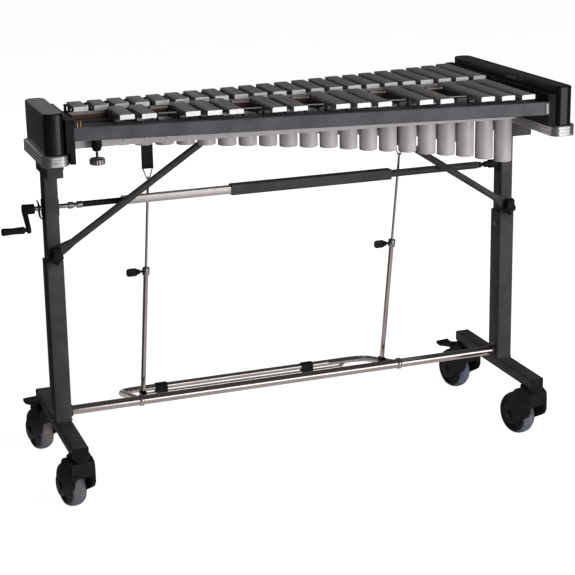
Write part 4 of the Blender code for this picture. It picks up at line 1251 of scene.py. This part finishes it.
def make_pedal():
    left, right = PEDAL_X

    def arm_z(y):
        return CROSSBAR_Z + (PEDAL_FAR_Z - CROSSBAR_Z) * y / PEDAL_FAR_Y

    def draw(bm):
        corners = [(left, PEDAL_NEAR_Y, arm_z(PEDAL_NEAR_Y)), (left, PEDAL_FAR_Y, PEDAL_FAR_Z)]
        corners += [(right, PEDAL_FAR_Y, PEDAL_FAR_Z), (right, PEDAL_NEAR_Y, arm_z(PEDAL_NEAR_Y))]
        sweep(bm, rounded_path(corners, PEDAL_CORNER, 14), PEDAL_RADIUS, 28)
        for x in (left, right):
            sweep(bm, [(x, 0.0120, arm_z(0.0120)), (x, 0.0200, arm_z(0.0200))], [0.0050, 0.0070], 24)
        ring = ((0.0110, -0.0045), (0.0126, -0.0045), (0.0131, -0.0040))
        ring += ((0.0131, 0.0040), (0.0126, 0.0045), (0.0110, 0.0045))
        for x in (left, right):
            turned(bm, ring, (x, 0, CROSSBAR_Z), (1, 0, 0), 40, bored=True)
        for index, x in enumerate((left, right)):
            foot = ROD_FEET[index]
            inward = foot[0] + (0.0065 if x < foot[0] else -0.0065)
            sweep(bm, [(x, foot[1], YOKE_PIN_Z), (inward, foot[1], YOKE_PIN_Z)], 0.0029, 16)

    piece("pedal_tube", draw, CHROME, "pedal", "pedal_frame", sharp=50)

    def draw_gussets(bm):
        """Thin inner rods across the pedal's two far corners."""
        for x, way in ((left, 1), (right, -1)):
            inner = [
                (x + way * 0.004, PEDAL_FAR_Y - 0.090, arm_z(PEDAL_FAR_Y - 0.090) + 0.001),
                (x + way * 0.020, PEDAL_FAR_Y - 0.020, arm_z(PEDAL_FAR_Y - 0.020) + 0.001),
                (x + way * 0.095, PEDAL_FAR_Y - 0.004, PEDAL_FAR_Z + 0.001),
            ]
            sweep(bm, rounded_path(inner, 0.022, 8), 0.0032, 16)

    piece("pedal_gussets", draw_gussets, CHROME, "pedal", ())

    lower_y, lower_z = PEDAL_FAR_Y - 0.004, PEDAL_FAR_Z - 0.0140

    def draw_lower_rail(bm):
        """The thinner rail under the far one, its ends turned up to the tube."""
        ends = (left + 0.052, right - 0.052)
        path = [(ends[0], lower_y, PEDAL_FAR_Z - 0.004), (ends[0] + 0.012, lower_y, lower_z)]
        path += [(ends[1] - 0.012, lower_y, lower_z), (ends[1], lower_y, PEDAL_FAR_Z - 0.004)]
        sweep(bm, rounded_path(path, 0.012, 6), 0.0045, 20)

    piece("pedal_lower_rail", draw_lower_rail, CHROME, "pedal", ())

    def draw_sleeves(bm):
        front, back = lower_y - 0.0070, PEDAL_FAR_Y + 0.0092
        bottom, top = lower_z - 0.0065, PEDAL_FAR_Z + 0.0092
        half = 0.0145
        outline = rounded_rectangle(front, back, bottom, top, 0.0060, 6)
        for x in PEDAL_SLEEVES_X:
            add_prism(bm, outline, x - half, x + half, axis="x")

    piece("pedal_sleeves", draw_sleeves, PLASTIC, "pedal", (), bevel=0.0012)


# ---------------------------------------------------------------- casters
WHEEL_RADIUS = 0.050
WHEEL_WIDTH = 0.034
CASTER_TRAIL = 0.050
CASTER_TURN = math.radians(10)
CHEEK_INNER, CHEEK_OUTER = 0.0202, 0.027
FRONT_STEM_Y = -0.160
REAR_STEM_Y = 0.180


def caster_place(x, y):
    """Turns points drawn about the stem, with the wheel trailing along +Y, into the stand's own."""
    c, s = math.cos(CASTER_TURN), math.sin(CASTER_TURN)
    return lambda p: Vector((x + c * p[0] - s * p[1], y + s * p[0] + c * p[1], p[2]))


def placed(draw, place):
    """A drawing with each of its new points put through place."""

    def step(bm):
        draw(bm)
        for vert in bm.verts:
            vert.co = place(vert.co)

    return step


def draw_tread(bm):
    """The rubber tyre, the hub disc inside it and the axle."""
    wide = WHEEL_WIDTH / 2
    centre = (0, CASTER_TRAIL, WHEEL_RADIUS)
    profile = [(WHEEL_RADIUS - 0.010, -wide + 0.0020)]
    for i in range(9):
        angle = -math.pi / 2 + math.pi * i / 8
        out = WHEEL_RADIUS - 0.0060 + 0.0060 * math.cos(angle)
        profile.append((out, math.sin(angle) * (wide - 0.0015)))
    profile.append((WHEEL_RADIUS - 0.010, wide - 0.0020))
    turned(bm, profile, centre, (1, 0, 0), 64, bored=True, look=0)
    rim = WHEEL_RADIUS - 0.0055
    hub = [(rim, -wide + 0.0030), (rim - 0.0004, -wide - 0.0002)]
    hub += [(rim - 0.005, -wide - 0.0008), (rim - 0.009, -wide + 0.003)]
    hub += [(0.015, -wide + 0.003), (0.0125, -wide - 0.002), (0.0045, -wide - 0.002)]
    hub += [(radius, -distance) for radius, distance in reversed(hub)]
    turned(bm, hub, centre, (1, 0, 0), 56, bored=True, look=1)
    turned(bm, ((0.0039, -CHEEK_OUTER), (0.0039, CHEEK_OUTER)), centre, (1, 0, 0), 20, look=2)


def arc(centre, radius, start, end, steps):
    """Points along an arc, from one angle to another in degrees."""
    points = []
    for i in range(steps + 1):
        angle = math.radians(start + (end - start) * i / steps)
        points.append((centre[0] + radius * math.cos(angle), centre[1] + radius * math.sin(angle)))
    return points


def draw_fork(bm):
    """Two cheeks and a hood over the wheel, with the swivel's bearing head on top."""
    axle = (CASTER_TRAIL, WHEEL_RADIUS)
    cheek = arc(axle, 0.024, -135, 40, 10)
    cheek += arc((0.004, 0.100), 0.026, 42, 90, 5)
    cheek += arc((-0.006, 0.110), 0.018, 90, 165, 5)
    cheek += [(-0.0262, 0.104), (-0.0262, 0.076), (-0.020, 0.064), (-0.008, 0.056)]
    for low, high in ((-CHEEK_OUTER, -CHEEK_INNER), (CHEEK_INNER, CHEEK_OUTER)):
        add_prism(bm, cheek, low, high, axis="x")
    hood = [(-0.0235, 0.122), (-0.0260, 0.112), (-0.0260, 0.092), (-0.0245, 0.088)]
    hood += [(-0.0205, 0.088), (-0.0188, 0.092), (-0.0175, 0.102), (-0.010, 0.1075)]
    hood += [(0.004, 0.1115), (0.030, 0.1085), (0.036, 0.1120), (0.026, 0.122)]
    half = CHEEK_OUTER - 0.0002
    add_prism(bm, hood, -half, half, axis="x")
    for sign in (-1, 1):
        corner = [(0.0203, 0.0885), (0.0203, 0.0795), (0.0190, 0.0835), (0.0160, 0.0868), (0.0120, 0.0885)]
        add_prism(bm, [(sign * x, z) for x, z in corner], -0.0250, -0.0215, axis="y")
    head = ((0.022, 0.098), (0.026, 0.104), (0.026, 0.1215), (0.0245, 0.1225))
    head += ((0.0245, 0.1245), (0.0258, 0.1255), (0.0258, 0.1322), (0.0250, 0.1327))
    turned(bm, head, (0, 0, 0), (0, 0, 1), 48)
    axle_cap = ((0.0105, 0.0), (0.0105, 0.0010), (0.0095, 0.0016), (0.0, 0.0016))
    for sign in (-1, 1):
        turned(bm, axle_cap, (sign * CHEEK_OUTER, *axle), (sign, 0, 0), 24)


def draw_lever(bm):
    """The brake lever's side, from its pivot out to the toe and back over the top."""
    outline = [(0.046, 0.1087), (0.060, 0.1062), (0.092, 0.0992), (0.104, 0.1010), (0.1075, 0.1042)]
    outline += [(0.106, 0.1095), (0.090, 0.1063), (0.062, 0.1140), (0.050, 0.1180)]
    outline += [(0.046, 0.1184), (0.0425, 0.117), (0.0412, 0.1135), (0.0425, 0.110)]
    half = 0.0175
    add_prism(bm, outline, -half, half, axis="x")


def make_casters():
    for side, sign in SIDES:
        for end, stem_y in (("front", FRONT_STEM_Y), ("rear", REAR_STEM_Y)):
            name = f"{end}_{side}"
            place = caster_place(sign * POST_X, stem_y)
            fork, wheel = placed(draw_fork, place), placed(draw_tread, place)
            node = f"{name}_caster_fork"
            piece(f"{name}_fork_shell", fork, PLASTIC, f"{name}_caster", node, bevel=0.0012)
            node = f"{name}_caster_wheel"
            wheel_looks = [TREAD, PLASTIC, ZINC]
            piece(f"{name}_tyred_wheel", wheel, wheel_looks, f"{name}_wheel", node, sharp=45)
            if end == "rear":
                lever = placed(draw_lever, place)
                node = f"{name}_caster_brake_lever"
                piece(f"{name}_brake_pedal", lever, PLASTIC, f"{name}_brake", node, bevel=0.0010)


# ---------------------------------------------------------------- floor, light and camera
def add_stage_mesh(name, corners, faces, material):
    mesh = bpy.data.meshes.new(name)
    mesh.from_pydata(corners, [], faces)
    mesh.materials.append(material)
    made = bpy.data.objects.new(name, mesh)
    bpy.context.scene.collection.objects.link(made)
    return made


def make_stage():
    """A pale floor and a white wall that glow for the camera, and a dim card that the object reflects."""
    reach = 40
    drop = -0.0005
    look = Look("pale studio floor", 0.8, specular=0.1)
    look.colour(look.ramp(look.noise(3), (0.30, 0.30, 0.30), (0.33, 0.33, 0.33)))
    look.glow((1.0, 1.0, 1.0), 0.94)
    corners = [(-reach, -reach, drop), (reach, -reach, drop), (reach, reach, drop), (-reach, reach, drop)]
    floor = add_stage_mesh("studio_floor", corners, [(0, 1, 2, 3)], look.material)
    floor.visible_diffuse = False
    floor.visible_glossy = False
    card_look = Look("warm reflecting card", 0.9, specular=0.0)
    card_look.colour(card_look.ramp(card_look.noise(2), (0.0, 0.0, 0.0), (0.01, 0.01, 0.01)))
    card_look.glow((1.0, 0.93, 0.90), 0.42)
    left, right, half = -0.6, 3.0, 2.2
    low = 2 * drop
    corners = [(left, -half, low), (right, -half, low), (right, half, low), (left, half, low)]
    card = add_stage_mesh("studio_card", corners, [(0, 1, 2, 3)], card_look.material)
    card.visible_camera = False
    card.visible_shadow = False
    wall_look = Look("white backdrop", 0.9, specular=0.0)
    wall_look.colour(wall_look.ramp(wall_look.noise(2), (0.0, 0.0, 0.0), (0.01, 0.01, 0.01)))
    wall_look.glow((1.0, 1.0, 1.0), 1.0)
    sides = 32
    ring = circle(reach * 0.9, sides)
    corners = [(x, y, drop * 2) for x, y in ring] + [(x, y, reach) for x, y in ring]
    faces = [(i, (i + 1) % sides, sides + (i + 1) % sides, sides + i) for i in range(sides)]
    wall = add_stage_mesh("studio_wall", corners, faces, wall_look.material)
    wall.visible_diffuse = False
    wall.visible_glossy = False
    wall.visible_shadow = False


def area_light(name, place, target, size, power, colour=(1, 1, 1)):
    data = bpy.data.lights.new(name, "AREA")
    data.shape = "RECTANGLE"
    data.size, data.size_y = size
    data.energy = power
    data.color = colour
    light = bpy.data.objects.new(name, data)
    light.location = place
    light.rotation_euler = (Vector(target) - Vector(place)).to_track_quat("-Z", "Y").to_euler()
    light.visible_camera = False
    light.visible_glossy = False
    bpy.context.scene.collection.objects.link(light)


def softbox(name, place, target, size, strength):
    """A glowing panel that only reflections see, so that highlights stay soft."""
    look = Look(f"{name} panel", 0.9, specular=0.0)
    look.colour(look.ramp(look.noise(2), (0.0, 0.0, 0.0), (0.01, 0.01, 0.01)))
    look.glow((1.0, 0.985, 0.965), strength)
    turn = (Vector(target) - Vector(place)).to_track_quat("-Z", "Y")
    halves = [(a * size[0] / 2, b * size[1] / 2) for a, b in ((-1, -1), (1, -1), (1, 1), (-1, 1))]
    corners = [Vector(place) + turn @ Vector((a, b, 0)) for a, b in halves]
    panel = add_stage_mesh(name, corners, [(0, 1, 2, 3)], look.material)
    panel.visible_camera = False
    panel.visible_diffuse = False
    panel.visible_shadow = False


def make_lights():
    world = bpy.data.worlds.new("studio")
    world.use_nodes = True
    world.node_tree.nodes["Background"].inputs["Color"].default_value = (1.0, 0.99, 0.98, 1)
    world.node_tree.nodes["Background"].inputs["Strength"].default_value = 0.06
    bpy.context.scene.world = world
    area_light("key", (2.8, -3.4, 2.9), (0, 0, 0.55), (4.2, 3.4), 225)
    area_light("front", (0.8, -4.6, 0.9), (0, 0, 0.5), (3.0, 1.5), 110)
    softbox("softbox_front", (1.7, -4.0, 0.75), (0.2, 0, 0.55), (2.6, 2.6), 1.9)
    softbox("softbox_back", (-1.0, 4.4, 2.0), (0, 0, 0.8), (5.0, 1.6), 0.30)
    area_light("back", (-1.0, 4.2, 2.2), (0, 0, 0.8), (5.0, 1.6), 9, (1.0, 0.95, 0.91))
    area_light("rear_fill", (0.6, 4.4, 0.55), (0, 0, 0.5), (4.0, 0.9), 60)
    bpy.context.scene.view_settings.view_transform = "Standard"


# The camera: where it stands from the stand's centre, and how it is turned.
CAMERA_PLACE = Vector((-1.1626, -3.1943, 1.4291))
CAMERA_YAW = math.radians(19.95)
CAMERA_PITCH = math.radians(14.39)
CAMERA_ROLL = math.radians(-0.95)
CAMERA_LENS = 97.07
CAMERA_SHIFT = (0.0, -0.12)


def make_camera():
    data = bpy.data.cameras.new("camera")
    data.lens = CAMERA_LENS
    data.sensor_width = 36
    data.shift_x, data.shift_y = CAMERA_SHIFT
    camera = bpy.data.objects.new("camera", data)
    camera.location = CENTRE + CAMERA_PLACE
    look = Vector((
        math.sin(CAMERA_YAW) * math.cos(CAMERA_PITCH),
        math.cos(CAMERA_YAW) * math.cos(CAMERA_PITCH),
        -math.sin(CAMERA_PITCH),
    ))
    turn = look.to_track_quat("-Z", "Y").to_matrix().to_4x4()
    from_roll = turn @ Matrix.Rotation(CAMERA_ROLL, 4, "Z")
    camera.rotation_euler = from_roll.to_euler()
    bpy.context.scene.collection.objects.link(camera)
    bpy.context.scene.camera = camera


make_bars()
make_frame()
make_adjuster()
make_ends()
make_resonators()
for side, sign in SIDES:
    make_leg(side, sign)
make_crossbar()
for side, sign in SIDES:
    make_column(side, sign)
for side, sign in SIDES:
    make_brace(side, sign)
make_drive()
make_damper()
for (side, _), foot, top in zip(SIDES, ROD_FEET, ROD_TOPS):
    make_rod(side, foot, top)
make_pedal()
make_casters()
make_stage()
make_lights()
make_camera()
